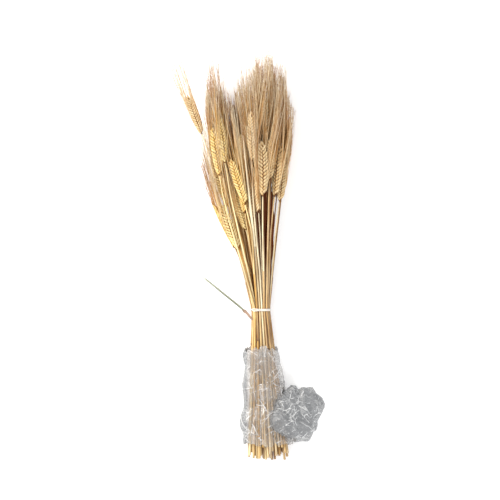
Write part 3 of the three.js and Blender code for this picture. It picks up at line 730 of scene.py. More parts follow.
# Left of here, at the middle of the bundle's length, the blades are golden, as painted light, right of it
# withered and dark, as painted shade
MIDDLE_BLADES = 17 * MM
# Left of here, at their ears' bases, the stalks are golden, right of it beige; how much browner the ones on
# the bundle's right, away from the light, are painted, as painted shade; and how much browner the lowest, deep
# in the bundle, are painted, as painted shade, on the left and on the right
GOLDEN_SIDE = 0.0
PAINTED_SHADE_RIGHT = 0.8
PAINTED_SHADE_LOW = (0.1, 0.35)

SPIKELETS = 28
# The ear's length for which the husks' sizes hold, and how far below its top the last one stands
EAR_LENGTH, EAR_TOP = 72 * MM, 7.5 * MM
EAR_FULLNESS = 1.03
# A spikelet's husks: where each starts and ends from its place on the ear's axis, in millimetres
# outwards, towards the ear's face and along it, its width as a share of its length, and its shade
HUSKS = (
    ("glume", (-0.8, 1.6, -1.0), (3.5, 3.1, 7.4), 0.36, 0.1),
    ("floret", (0.6, 0.9, 0.4), (6.7, 2.0, 10.6), 0.29, 0.25),
    ("middle", (1.2, 0.0, 1.4), (6.2, 0.0, 11.2), 0.27, -0.15),
)
# How much a husk's tip strays, in millimetres, and how much darker a husk is painted at its open rim and inner
# side, as painted shade between the husks
HUSK_STRAYS = 0.25
RIM_PAINTED_SHADE = 1.3

# The ear that leans out at the left, and the lowest of the left ears
LEANING_OUT = "wheat_stalk_01"
LOWEST_LEFT = "wheat_stalk_05"
# Ears left of here draw their awns in towards the bundle
DRAWN_IN = -20 * MM
# How far the awns fan out from their ear's own way, on the side towards the bundle and away from
# it: of most ears, of the one that leans out, of those that draw in, and of the lowest left one
AWN_SPREAD, LEANING_SPREAD, DRAWN_SPREAD, LOWEST_SPREAD = (0.9, 0.75), (1.0, 1.1), (0.8, 0.35), (0.3, 0.15)
# How much longer or shorter than the solid's own awns they may be; the leaning ear's are finer
SHORTEST, LONGEST, LONGEST_LEANING = 0.95, 1.6, 1.45
FINER_LEANING = 0.7
# A solid's awn on the ear's other side counts as this much further along the ear
OTHER_SIDE = 400 * MM
# Where the lowest left ear's awns draw together, and how loosely, in x and y
STRIP_TOP = np.array([-70, 146]) * MM
STRIP_LOOSE = np.array([2.2, 15]) * MM
# How far single awns reach past the solids' box
PAST_BOX = 7 * MM

# How high the awns stand across the bundle, in millimetres: x, where they stand closely, and the
# highest single one
CANOPY = np.array([
    (-68.5, 210.6, 244.7), (-62.3, 238.5, 297.5), (-54.5, 263.3, 306.8), (-46.8, 250.9, 313.0),
    (-39.0, 246.3, 285.1), (-31.3, 230.8, 254.1), (-22.8, 215.0, 244.7), (-15.8, 247.8, 269.6),
    (-8.1, 263.3, 288.2), (-0.3, 264.9, 297.5), (7.5, 278.8, 306.8), (15.2, 292.8, 308.3),
    (22.9, 288.1, 308.3), (30.7, 303.6, 330.0), (35.4, 297.4, 328.0), (38.5, 285.0, 319.2),
    (46.2, 263.3, 300.6), (54.0, 272.6, 300.6), (61.7, 238.5, 272.7), (69.5, 226.1, 261.8),
    (75.7, 210.6, 244.7),
]) * MM
# How far out they spread at each height, in millimetres: y, the left edge and the right edge
EDGES = np.array([
    (46.1, -43.7, 49.3), (61.6, -45.2, 49.3), (83.3, -48.3, 50.9), (95.7, -51.5, 54.0),
    (108.1, -55.3, 56.3), (120.5, -58.4, 60.2), (132.9, -60.8, 63.3), (145.3, -64.6, 66.4),
    (157.7, -67.7, 66.4), (170.1, -70.8, 66.4), (182.5, -72.4, 67.9), (194.9, -72.4, 70.3),
    (207.3, -68.5, 73.5), (219.7, -68.5, 75.5), (232.1, -66.2, 77.0), (244.5, -65.4, 73.0),
    (256.9, -65.4, 67.0), (330.0, -65.4, 60.0),
]) * MM
# How an awn's own height falls between the two: how far below the close one it may stay, and how
# fast single ones grow rare above it
BELOW, RARE = 0.12, 0.31
# From this height between the two an awn counts as a single one, and is longer
SINGLE, SINGLE_LONGER = 0.5, 1.4


def on_sheath(heights, sheath):
    """Whether each height lies on the sheath."""
    return (heights > sheath[0]) & (heights <= sheath[1])


def straw_rings(stalk, knot, sheath):
    """Where a straw's rings lie along Y and their radii: evenly, and closer at its knot and sheath."""
    levels, radii = stalk["radii"]
    offsets, swells = np.transpose(KNOT)
    special = [*(knot + offsets * MM)]
    if sheath:
        special += [end + step for end in sheath for step in (-0.4 * MM, 0, 0.3 * MM)]
    low, high = stalk["low"], stalk["base"] + 1 * MM
    even = np.linspace(low, high, STRAW_RINGS + 1 - len(special))
    heights = np.sort(np.clip(np.concatenate([even, special]), low, high))
    radius = np.interp(heights, levels, radii) * np.interp((heights - knot) / MM, offsets, swells, 1, 1)
    if sheath:
        thick = SHEATH_THICK
        if not stalk["tips"]:
            share = (heights - sheath[0]) / (sheath[1] - sheath[0])
            thick = LOOSE_SHEATH_THICK * (1 - np.clip(share, 0, 0.8))
        radius = radius + thick * on_sheath(heights, sheath)
    return heights, radius


def grow_straw(growing, template, stalk, random, tone, knot, sheath):
    """One straw, with its knot, its leaf sheath and its hollow cut end."""
    heights, radii = straw_rings(stalk, knot, sheath)
    points = line_at(stalk["line"], heights)
    sway = random.normal(0, 0.12 * MM, (len(points), 2))
    points[:, [0, 2]] += smoothed(sway, np.ones(9), "same")
    x, z, rings = template[0].T
    height, radius = rows_at(np.stack([heights, radii], 1), rings).T
    shade = np.full(len(rings), tone)
    if sheath:
        shade += (SHEATH_SHADE if stalk["tips"] else LOOSE_SHEATH_SHADE) * on_sheath(height, sheath)
    if not stalk["tips"]:
        shade += UNBLEACHED * np.clip((PALE_FROM - height) / PALE_FADE, 0, 1)
    shade += KNOT_SHADE * (np.abs(height - knot) < KNOT_SHADED)
    # Painted light and shade: paler on the side towards the light and darker on the far side
    shade += PAINTED_LIGHT_AND_SHADE * (template[0][:, :2] @ LIT_SIDE - 0.35)
    # Paler from the band up, and browner below it
    shade += np.clip((height - BAND_Y) / (70 * MM), -0.25, 0.45)
    shade = np.where(height < FILM_TOP, FILM_KEEPS * shade + FILM_PALER, shade)
    shade += CUT_END_PALER * np.clip((FILM_END - height) / (6 * MM), 0, 1)
    grain = np.stack([x * radius, height, z * radius], 1) + random.uniform(0, 1, 3)
    growing.add(template, bent(template, points, radii, 1), shade, 0.0, grain)


def wave(share, random, slowest, fastest):
    """A sine along a share, its pace and its start drawn at random."""
    return np.sin(share * random.uniform(slowest, fastest) + random.uniform(0, 6))


def grow_blade(growing, template, stalk, random):
    """A brown, withered leaf blade that lies along a straw, a little below it, from above the sleeve to its
    ear; its colour is partly its own and partly painted light and shade in the gaps of the bundle.
    """
    low, high = FILM_TOP + random.uniform(0, 30) * MM, stalk["base"] + random.uniform(-20, 25) * MM
    heights = np.linspace(low, high, STRAW_RINGS + 1)
    share = np.linspace(0, 1, STRAW_RINGS + 1)
    points = line_at(stalk["line"], heights)
    points[:, 0] += 1.2 * MM * wave(share, random, 5, 9)
    points[:, 2] = np.maximum(points[:, 2] - BLADE_BELOW_STRAW, 1.2 * MM)
    _, across, up = frames_along(points)
    turn = (random.uniform(-0.3, 0.3) + 0.25 * wave(share, random, 6, 12))[:, None]
    across, up = across * np.cos(turn) + up * np.sin(turn), up * np.cos(turn) - across * np.sin(turn)
    # The blade widens from its root, narrows to its tip and waves at its edges
    half = BLADE_HALF_WIDTH * np.minimum(1, 0.35 + 2.2 * share) * np.minimum(1, 4 * (1 - share) + 0.08)
    half = half * (1 + 0.15 * np.sin(share * 31 + random.uniform(0, 6)))
    x, z, rings = template[0].T
    height, half = rows_at(np.stack([heights, half], 1), rings).T
    wide, thick = half * x, BLADE_HALF_THICK * z
    beside = wide[:, None] * rows_at(across, rings) + thick[:, None] * rows_at(up, rings)
    corners = rows_at(points, rings) + beside
    corners[:, 2] = np.maximum(corners[:, 2], 0.4 * MM)
    grain = np.stack([wide, height, thick], 1) + random.uniform(0, 1, 3)
    plain = (*template[:2], 0 * template[2])
    growing.add(plain, corners, random.uniform(-1.0, 0.2), 0.0, grain, BLADE)


def within_edges(start, reach, random):
    """An awn's reach turned in where it would leave the bundle's outline, and cut at the canopy."""
    above = min(random.exponential(RARE) - BELOW, 1)
    if above > SINGLE:
        reach = reach * SINGLE_LONGER
    left, right = (np.interp(start[1] + reach[1], EDGES[:, 0], EDGES[:, i]) for i in (1, 2))
    inset = random.exponential(4 * MM)
    reach[0] = np.clip(start[0] + reach[0], left + inset, right - inset) - start[0]
    for share in np.linspace(0.3, 1, 22):
        x, y = start[:2] + share * reach[:2]
        close, single = (np.interp(x, CANOPY[:, 0], CANOPY[:, i]) for i in (1, 2))
        if y > close + above * (single - close):
            return reach * share
    return reach


def husk_copy(template, root, tip, back, width):
    """A husk's corners from its root to its tip, its keel turned to the back."""
    along = tip - root
    length = np.linalg.norm(along)
    along = along / length
    across = unit(np.cross(back, along))
    keel = np.cross(along, across)
    x, y, z = template[0].T[:, :, None]
    return root + length * (z * along + width * (x * across - y * keel))


def spikelet_frame(points, i, flat):
    """A spikelet's place on the ear's axis, the heading there, the way out and the way to the face."""
    place, ahead = points[i], points[i + SPIKELETS]
    along = unit(ahead - place)
    out = unit(flat - along * flat.dot(along))
    return place, along, out, np.cross(out, along)


def grow_ear(growing, templates, stalk, random, tone):
    """An ear: two rows of overlapping spikelets up its axis, each with its husks and its awns."""
    base, length = stalk["base"], stalk["high"] - stalk["base"]
    size = length / EAR_LENGTH
    flat = np.array([stalk["flat"][0], 0, stalk["flat"][1]])
    heights = base + np.linspace(1.0 * MM, length - EAR_TOP, SPIKELETS)
    points = line_at(stalk["line"], np.concatenate([heights, heights + 1 * MM]))
    husk = templates["husk"]
    # The open rim and inner side of each husk are painted dark, as painted shade
    rim = RIM_PAINTED_SHADE * (husk[0][:, 1] > -0.01)
    awns = []
    for i in range(SPIKELETS):
        place, along, out, face = spikelet_frame(points, i, flat)
        # The ear is fullest just below its middle, slimmer at its base and slimmest at its top
        fill = size * (0.25 + 0.95 * math.sin(math.pi * (0.15 + 0.77 * i / (SPIKELETS - 1))) ** 0.8)
        side = 1 if i % 2 else -1
        if i == SPIKELETS - 1:
            out, face, side = face, out, 0.3
        fill *= EAR_FULLNESS * random.uniform(0.95, 1.05)
        shade = 0.4 * tone + random.normal(0.15, 0.15)
        for kind, root, tip, width, lighter in HUSKS:
            for facing in (1, -1) if kind != "middle" else (1,):
                ends = []
                for (o, f, a), strays in ((root, 0), (tip, 1)):
                    jitter = random.normal(0, HUSK_STRAYS, 3) * strays
                    offset = side * (o + jitter[0]) * out + facing * (f + jitter[1]) * face
                    ends.append(place + MM * (fill * offset + size * (a + jitter[2]) * along))
                    ends[-1][2] = max(ends[-1][2], 2 * MM)
                back = facing * face * (kind != "middle") + side * out * 0.35
                corners = husk_copy(husk, ends[0], ends[1], back, width / HUSK_WIDTH)
                grain = husk[0][:, [0, 2, 1]] * 12 * MM + random.uniform(0, 1, 3)
                growing.add(husk, corners, shade + lighter - rim, husk[0][:, 2], grain, CHAFF)
                if kind == "floret" and (facing == 1 or i % 4 < 3):
                    awns.append((ends[1] - 0.06 * (ends[1] - ends[0]), side * out))
    grow_awns(growing, templates["awn"], stalk, awns, random, tone)


def grow_awns(growing, template, stalk, starts, random, tone):
    """The ear's awns: each goes the way that the solid's nearest awns go, and as far."""
    known = [(neck, tip - neck) for neck, tip in stalk["tips"] if np.linalg.norm(tip - neck) > 50 * MM]
    reaches = sorted((reach for _, reach in known), key=lambda reach: -reach[0])
    spread, longest = AWN_SPREAD, LONGEST
    radius = bpy.context.scene.wheat_bundle.awn_radius
    if stalk["name"] == LEANING_OUT:
        spread, longest, radius = LEANING_SPREAD, LONGEST_LEANING, radius * FINER_LEANING
    elif known[0][0][0] < DRAWN_IN:
        reaches = reaches[: len(reaches) // 2]
        spread = LOWEST_SPREAD if stalk["name"] == LOWEST_LEFT else DRAWN_SPREAD
    straight = np.mean(reaches, axis=0)
    count = np.linspace(0, 1, AWN_RUNS + 1)[:, None]
    for start, outwards in starts:
        away = [max(0, -outwards.dot(unit(tip))) * OTHER_SIDE for _, tip in known]
        apart = [abs(neck[1] - start[1]) + random.uniform(0, 10 * MM) for neck, _ in known]
        near = [known[k][1] for k in np.argsort(np.add(away, apart))[:2]]
        share = random.uniform(0, 1)
        reach = share * near[0] + (1 - share) * near[1]
        outer = (reach[0] - straight[0]) * (start[0] - BUNDLE_X) > 0
        reach = straight + (reach - straight) * (spread[1] if outer else spread[0])
        reach = (reach + random.normal(0, 1.6 * MM, 3)) * random.uniform(SHORTEST, longest)
        if stalk["name"] == LEANING_OUT:
            side = SOLID_LOW[0] - PAST_BOX + random.exponential(9 * MM)
            reach[0] = max(reach[0], side - start[0])
        elif stalk["name"] == LOWEST_LEFT:
            reach[:2] = STRIP_TOP + random.normal(0, 1, 2) * STRIP_LOOSE - start[:2]
        else:
            reach = within_edges(start, reach, random)
        bow = random.normal(0, 1.3 * MM, 3) * np.sin(math.pi * count)
        points = start + count * reach + bow
        points[:, 0] = np.maximum(points[:, 0], SOLID_LOW[0] - PAST_BOX)
        points[:, 1] = np.minimum(points[:, 1], SOLID_HIGH[1] + PAST_BOX)
        points[:, 2] = np.clip(points[:, 2], 0.6 * MM, SOLID_HIGH[2] + 1 * MM)
        radii = np.full(AWN_RUNS + 1, radius * random.uniform(0.75, 1.15))
        corners = bent(template, points, radii, AWN_RUNS)
        # Awns are too thin to show a grain
        shade = 0.3 + 0.4 * tone + random.normal(0, 0.7)
        growing.add(template, corners, shade, template[0][:, 2], 0 * corners, AWNS)


def knot_and_sheath(stalk, random):
    """The straw's knot, and the lower and upper end of its leaf sheath or None."""
    knot = stalk["low"] + (random.uniform(20, 150) if random.uniform() < 0.6 else random.normal(178, 9)) * MM
    sheath = (knot, knot + random.uniform(70, 160) * MM) if random.uniform() < 0.45 else None
    return knot, sheath


def stalk_materials(settings):
    """The golden stalks' materials and the beige ones', each in the order of the marks."""
    pith = pith_material()
    lists = []
    # The last number of each straw and blade is the share of painted shade it takes deep in the bundle: less
    # for the golden ones on the left, towards the light
    for straw, chaff, awns, blade in (
        (
            ("sunny_straw", "#fdecb8", settings.golden_straw, "#6a300c", 0.42, 0.3),
            ("golden_chaff", "#ffefb8", settings.golden_chaff, "#7a4a1c"),
            ("golden_awns", "#efc66c", settings.awns),
            ("golden_blade", "#f7da98", "#dca855", "#a0622c", 0.6, 0.2),
        ),
        (
            ("golden_straw", "#fdf0cb", settings.beige_straw, "#602a0a", 0.42, 0.65),
            ("beige_chaff", "#f8e6bd", settings.beige_chaff, "#6b3f1e"),
            ("tan_awns", "#dcb27a", settings.awns),
            ("withered_blade", "#bd7a42", "#8f4c20", "#4c1d08", 0.6),
        ),
    ):
        made = straw_material(*straw), pith, husk_material(*chaff), awn_material(*awns), straw_material(*blade)
        lists.append(list(made))
    return lists


# The film

# The height of the sleeve's middle line above the table, and how many facets the sleeve has round it and along
# it
FILM_CENTRE_Z = 17 * MM
FILM_AROUND = 18
FILM_ROWS = 16
# The film lies on stalks thought this much thicker and then drawn back by this much, so that it
# spans the gaps between them, and it stands off them by no more than LOOSE
THICKER, DRAWN_BACK = 2.6 * MM, 1.8 * MM
LOOSE = 7.5 * MM
# How far the crumpling, a tenth of the radius or so, stands off the sleeve
CRUMPLE = 26 * MM
CREASE_STANDS = 0.9 * MM

# The film's long folds: how many, how far each reaches and the slope that its facets take
FOLDS = ((30, 36 * MM, 0.24), (70, 16 * MM, 0.3))

# Creases pressed sharply into the sleeve's upper side: the ends of each in x and y, in millimetres
CREASES = (
    ((-9.3, -247.1), (15.5, -236.8)), ((13.3, -169.9), (22.9, -166.3)), ((22.9, -166.3), (31.9, -165.7)),
    ((5.1, -216.4), (28.4, -207.1)), ((40.0, -199.6), (50.5, -213.0)), ((40.0, -199.6), (22.6, -213.0)),
    ((22.6, -239.6), (37.7, -246.6)), ((28.4, -279.1), (58.6, -265.2)), ((32.2, -269.8), (63.2, -248.1)),
    ((-4.2, -251.2), (0.5, -269.8)), ((-10.4, -255.9), (-0.6, -286.1)), ((0.5, -286.1), (12.1, -295.4)),
    ((1.7, -269.8), (13.3, -278.1)), ((42.3, -255.9), (54.0, -238.8)), ((54.0, -238.8), (67.9, -228.0)),
    ((44.6, -263.6), (66.3, -234.2)), ((7.4, -257.4), (22.9, -288.4)), ((16.8, -223.3), (29.1, -238.8)),
    ((-1.9, -183.0), (7.4, -173.7)), ((4.3, -148.9), (16.8, -158.2)), ((32.2, -152.0), (44.6, -167.5)),
)
# The same in the film bunched up at its side
LUMP_CREASES = (
    ((57.6, -248.9), (68.7, -233.2)), ((68.7, -233.2), (81.0, -229.2)), ((81.0, -229.2), (96.5, -230.3)),
    ((78.7, -232.6), (90.4, -242.0)), ((88.0, -237.3), (99.7, -251.3)), ((50.7, -269.9), (71.6, -255.9)),
    ((62.3, -242.0), (73.1, -263.4)), ((81.0, -258.2), (95.0, -265.2)), ((95.0, -265.2), (105.5, -278.0)),
    ((104.3, -237.3), (109.0, -242.0)), ((111.3, -214.0), (113.6, -228.0)), ((71.6, -246.6), (76.3, -262.9)),
    ((60.0, -261.7), (76.3, -271.0)), ((76.3, -274.5), (90.4, -286.2)), ((81.0, -283.8), (97.3, -288.5)),
    ((69.3, -251.3), (81.0, -239.6)), ((64.0, -257.0), (70.0, -240.0)), ((84.0, -246.0), (92.0, -256.0)),
)
CREASE_REACH = 1.7 * MM

# Where the sleeve's upper side lies in several layers: the middle in x and y and the reach, in
# millimetres, and how much like the bunched film it looks; and its folded left side
LAYERED = (((32.2, -217.1), 10, 0.5), ((22.9, -153.0), 12, 0.5), ((50.0, -252.0), 15, 0.5))
SLEEVE_LEFT = -1.5 * MM

# The lump of film bunched up at the sleeve's side, in metres: its middle and half its height, and
# where it is gathered
LUMP_MIDDLE = np.array([0.0854, -0.2509, 0.0235])
LUMP_HALF_HEIGHT = 22.5 * MM
GATHER = np.array([0.0633, -0.2295, 0.022])
# How far the lump reaches each way round, in degrees from +X and in millimetres
LUMP_REACH = (
    (0, 29), (10, 31.5), (20, 34), (30, 36.5), (40, 39), (50, 41), (60, 44), (70, 46), (80, 46.5), (88, 45.5),
    (98, 36), (108, 46), (120, 48), (150, 47), (180, 50), (210, 48), (240, 46), (252, 44), (262, 42.5),
    (272, 42), (286, 41), (296, 37), (304, 33), (315, 32.5), (325, 30), (335, 26), (345, 26), (352, 27),
)
# The power of its outline: 2 is an ellipsoid, more is boxier
LUMP_POWER = 2.3
PLEATS = 17
PLEAT_DEPTH = 4.2 * MM


def all_folds(random, low, high):
    """Folds scattered through a box: their middles, the ways across them, their reaches and slopes."""
    folds = []
    for count, reach, slope in FOLDS:
        middles = random.uniform(low, high, (count, 3))
        ways = unit(random.normal(0, 1, (count, 3)))
        size = reach * random.uniform(0.6, 1.3, count)
        folds.extend(zip(middles, ways, size, slope * random.choice([-1, 1], count)))
    return folds


def folded(points, folds):
    """How far a sheet stands off at each point where the folds bend it."""
    depth = np.zeros(len(points))
    for middle, way, reach, slope in folds:
        away = points - middle
        near = np.exp(-((away**2).sum(1)) / (2 * (reach / 1.6) ** 2))
        depth += slope * near * (np.abs(away @ way) - 0.35 * reach)
    return depth


def stalk_reach(rows, turns, middles):
    """How far the stalks reach from the sleeve's middle line at each height and turn."""
    reach = np.zeros(len(rows))
    for name in WHEAT_STALKS + BARE_STRAWS:
        stalk = read_stalk(name)
        away = line_at(stalk["line"], rows)[:, [0, 2]] - middles
        radius = np.interp(rows, *stalk["radii"]) + THICKER
        forward = away[:, 0] * np.sin(turns) + away[:, 1] * np.cos(turns)
        beside = away[:, 0] * np.cos(turns) - away[:, 1] * np.sin(turns)
        inside = radius**2 - beside**2
        reach = np.maximum(reach, np.where(inside > 0, forward + np.sqrt(np.maximum(inside, 0)), 0))
    return reach - DRAWN_BACK


def crumpled_template(jitter, depths):
    """The primitive split into ever smaller triangles, each split pushing the new corners off it."""
    bpy.ops.object.mode_set(mode="EDIT")
    bpy.ops.mesh.select_all(action="SELECT")
    bpy.ops.mesh.quads_convert_to_tris(quad_method="FIXED_ALTERNATE")
    bpy.ops.transform.vertex_random(offset=jitter, seed=SEED)
    for number, depth in enumerate(depths):
        bpy.ops.mesh.subdivide(number_cuts=1, fractal=depth, fractal_along_normal=0.7, seed=SEED + number)
    return taken_template()


def film_tube():
    """The template of the sleeve's body: a tube of radius 1 whose facets are as wide as they are long."""
    width = 2 * math.pi / FILM_AROUND
    fresh_start()
    bpy.ops.mesh.primitive_cylinder_add(
        vertices=FILM_AROUND, radius=1, depth=width * FILM_ROWS, end_fill_type="NOTHING"
    )
    bpy.ops.object.mode_set(mode="EDIT")
    pick("edges", lambda edge: runs_up(edge, width))
    bpy.ops.mesh.subdivide(number_cuts=FILM_ROWS - 1)
    bpy.ops.object.mode_set(mode="OBJECT")
    return crumpled_template(0.08, (0.5, 0.6, 0.5))


def film_ball():
    """The template of the film bunched up at the sleeve's side: a crumpled ball of radius 1."""
    fresh_start()
    bpy.ops.mesh.primitive_ico_sphere_add(subdivisions=3, radius=1)
    return crumpled_template(0.2, (0.9, 0.8, 0.5))


def outer_reach(tree, origins, ways):
    """How far the solid's outer surface is from each origin along each way, or the mean where missed."""
    outside = 0.3
    reach = np.full(len(ways), np.nan)
    for i, (origin, way) in enumerate(zip(origins, ways)):
        start = Vector(origin + way * outside)
        hit = tree.ray_cast(start, Vector(-way))[0]
        if hit is not None:
            reach[i] = outside - (start - hit).length
    return np.where(np.isnan(reach), np.nanmean(reach), reach)


def rim_wave(turns):
    """How far the sleeve's rims run past or fall short of the solid's, in waves round it."""
    return MM * (1.8 * np.sin(3 * turns + 1) + 1.6 * np.sin(7 * turns) + 1.5 * np.sin(13 * turns + 2) - 1.5)


def wings(turns, share):
    """How far the flattened sleeve stands out past the solid at its left and its right side."""
    left, right = np.maximum(0, -np.sin(turns)) ** 4, np.maximum(0, np.sin(turns)) ** 4
    low_bulge = np.exp(-(((share - 0.3) / 0.26) ** 2))
    high_bulge = np.exp(-(((share - 0.93) / 0.1) ** 2))
    return MM * (left * (5.5 * low_bulge + 5.5 * high_bulge) + right * (3.5 - 6.5 * share))


def creased(points, creases):
    """How sharply creases crease each point of the film's upper side, from 0 to 1."""
    sharp = np.zeros(len(points))
    for start, end in creases:
        start, way = np.array(start) * MM, np.subtract(end, start) * MM
        away = points[:, :2] - start
        share = np.clip(away @ way / way.dot(way), 0, 1)
        apart = np.linalg.norm(away - share[:, None] * way, axis=1)
        sharp = np.maximum(sharp, 1 - apart / CREASE_REACH)
    return sharp * (points[:, 2] > FILM_CENTRE_Z)


def layered(points):
    """How much each point of the sleeve looks like bunched film, from 0 to 1: more veiled, and painted darker,
    as painted shade.
    """
    share = 0.95 * np.clip((SLEEVE_LEFT - points[:, 0]) / (6 * MM) + 1, 0, 1)
    for middle, reach, most in LAYERED:
        away = np.linalg.norm(points[:, :2] - np.array(middle) * MM, axis=1)
        share = np.maximum(share, most * np.exp(-((away / (reach * MM)) ** 4)))
    return share


def pleated(points, creases):
    """How far the pleats stand off that run out from the gather, and how sharp pleats and creases are."""
    axis = unit(LUMP_MIDDLE - GATHER)
    first = unit(np.cross(axis, [0.0, 0.0, 1.0]))
    away = points - GATHER
    turn = np.arctan2(away @ np.cross(axis, first), away @ first)
    far = np.linalg.norm(away, axis=1)
    run = turn * PLEATS / (2 * math.pi)
    run = run + 0.35 * np.sin(3 * turn + far / (11 * MM)) + 0.2 * np.sin(5 * turn + far / (6 * MM))
    ridge = 1 - 2 * np.abs(run % 1 - 0.5)
    fade = np.exp(-((far / (50 * MM)) ** 4))
    sharp = np.clip((ridge - 0.55) / 0.45, 0, 1) * fade
    return PLEAT_DEPTH * (ridge - 0.5) * fade, np.maximum(0.8 * sharp, creased(points, creases))


def film_sleeve(thickness):
    """The sleeve: a crumpled tube round the straws, and the same film bunched up at its side."""
    random = np.random.default_rng(SEED + 300)
    points, faces = merged_solid("film_sleeve")
    tree = BVHTree.FromPolygons(points.tolist(), faces.tolist())
    low, high = points.min(0), points.max(0)
    folds = all_folds(random, low, high)
    corners, sides, _ = film_tube()
    off = np.linalg.norm(corners[:, :2], axis=1) - 1
    turns = np.arctan2(corners[:, 0], corners[:, 1])
    share = (corners[:, 2] - corners[:, 2].min()) / np.ptp(corners[:, 2])
    rows = low[1] + 1 * MM + share * (high[1] - low[1] - 2 * MM)
    rows = rows + (share**4 - (1 - share) ** 4) * rim_wave(turns) - 5 * MM * share**6 * np.sin(turns) ** 4
    straw = read_stalk(BARE_STRAWS[0])["line"]
    middles = np.stack([line_at(straw, rows)[:, 0], np.full(len(rows), FILM_CENTRE_Z)], 1)
    ways = np.stack([np.sin(turns), np.zeros(len(turns)), np.cos(turns)], 1)
    origins = np.stack([middles[:, 0], rows, middles[:, 1]], 1)
    snug = stalk_reach(rows, turns, middles)
    reach = np.minimum(outer_reach(tree, origins, ways), snug + LOOSE) - 1 * MM
    around = origins + ways * reach[:, None]
    stand, sharp = pleated(around, CREASES)
    reach = reach + 0.8 * folded(around, folds) + CRUMPLE * off + 0.4 * stand + CREASE_STANDS * sharp
    reach = np.maximum(reach + wings(turns, share), snug)
    place = origins + ways * reach[:, None]
    lump = bunched(folds, random)
    corners = np.concatenate([place, lump[0]])
    corners[:, 2] = np.maximum(corners[:, 2], 0.3 * MM)
    faces = sides + [tuple(i + len(place) for i in side) for side in lump[1]]
    piece = new_piece("film_sleeve_crumpled", corners, faces)
    write_attribute(piece.data, "fold", np.concatenate([sharp, lump[2]]))
    write_attribute(piece.data, "bunch", np.concatenate([layered(place), np.ones(len(lump[0]))]))
    return thickened(piece, thickness)


def bunched(folds, random):
    """The film bunched up at the sleeve's side, a pleated bag: its corners, faces and sharpness."""
    corners, sides, _ = film_ball()
    corners = corners @ np.linalg.qr(random.normal(0, 1, (3, 3)))[0]
    off = np.linalg.norm(corners, axis=1)
    ways = corners / off[:, None]
    flat = np.linalg.norm(ways[:, :2], axis=1)
    turns, reaches = np.transpose(LUMP_REACH)
    outline = np.interp(np.degrees(np.arctan2(ways[:, 1], ways[:, 0])) % 360, turns, reaches, period=360) * MM
    reach = (flat / outline) ** LUMP_POWER + (np.abs(ways[:, 2]) / LUMP_HALF_HEIGHT) ** LUMP_POWER
    reach = reach ** (-1 / LUMP_POWER)
    around = LUMP_MIDDLE + ways * reach[:, None]
    stand, sharp = pleated(around, LUMP_CREASES)
    reach = reach * (1 + 0.7 * (off - 1)) + 0.5 * folded(around, folds) + stand + CREASE_STANDS * sharp
    return LUMP_MIDDLE + ways * reach[:, None], sides, sharp


def thickened(piece, thickness):
    """The piece, a sheet, given its thickness."""
    fresh_start()
    bpy.context.view_layer.objects.active = piece
    piece.select_set(True)
    solidify = piece.modifiers.new("thickness", "SOLIDIFY")
    solidify.thickness = thickness
    solidify.offset = 0
    bpy.ops.object.modifier_apply(modifier="thickness")
    return piece


# The rubber band

BAND_APART = 0.95 * MM
BAND_HALF_WIDTH = 0.88 * MM
BAND_HALF_DEPTH = 0.5 * MM
# How far the upper turn is lifted and both spread where they cross
BAND_LIFT, BAND_SPREAD = 1.1 * MM, 0.6 * MM


def reshaped(piece, name, place):
    """The primitive under its new name, its corners put in place."""
    piece.data.vertices.foreach_set("co", place.ravel())
    piece.name = piece.data.name = name
    return piece


def wound_band():
    """One loop of rubber wound twice round the stalks, its turns crossing where the solid is widest."""
    points, faces = merged_solid("rubber_band")
    tree = BVHTree.FromPolygons(points.tolist(), faces.tolist())
    middle = (points.min(0) + points.max(0)) / 2
    widest = points[np.abs(points[:, 1] - middle[1]) > 0.98 * np.ptp(points[:, 1]) / 2].mean(0) - middle
    fresh_start()
    bpy.ops.mesh.primitive_torus_add(major_segments=220, minor_segments=10, major_radius=1, minor_radius=0.5)
    torus = bpy.context.object
    corners = np.array([v.co for v in torus.data.vertices])
    round_it = np.arctan2(corners[:, 1], corners[:, 0])
    across = (np.hypot(corners[:, 0], corners[:, 1]) - 1) / 0.5
    beside = corners[:, 2] / 0.5
    turns = 2 * round_it + math.atan2(widest[0], widest[2])
    inner = []
    for turn in turns:
        hit = tree.ray_cast(Vector(middle), Vector((math.sin(turn), 0, math.cos(turn))))[0]
        inner.append((hit - Vector(middle)).length)
    from_crossing = np.abs((round_it + math.pi / 2) % math.pi - math.pi / 2)
    over = np.exp(-((from_crossing / 0.2) ** 2)) * (np.cos(round_it) > 0) * BAND_LIFT
    spread = np.exp(-(((from_crossing - 0.2) / 0.12) ** 2)) * BAND_SPREAD
    shift = np.sign(np.sin(round_it)) * np.minimum(1, np.abs(np.sin(round_it)) / 0.13)
    y = middle[1] + shift * (BAND_APART + spread) + beside * BAND_HALF_WIDTH
    reach = np.array(inner) + BAND_HALF_DEPTH * (1 + across) + over
    place = np.stack([middle[0] + np.sin(turns) * reach, y, middle[2] + np.cos(turns) * reach], 1)
    place[:, 2] = np.maximum(place[:, 2], 0.05 * MM)
    return reshaped(torus, "rubber_band_wound", place)


# The leaf

LEAF_ROWS = 110
LEAF_ACROSS = 12
LEAF_THICK = 0.3 * MM
# Half the width of the leaf laid flat, in millimetres, at shares of its length from its root
LEAF_HALF_WIDTHS = ((0, 1.6), (0.1, 2.5), (0.2, 3.0), (0.25, 2.9), (0.32, 3.4), (0.9, 3.2), (1, 0.6))
# How far up the dried leaf lies from its solid's middle line, in millimetres, at shares of its length
LEAF_STRAIGHTENED = (
    (0, 9.5), (0.05, 6.5), (0.127, 2.8), (0.26, 2.0), (0.4, -2.8), (0.605, -1.9), (0.81, 0), (1, 0),
)
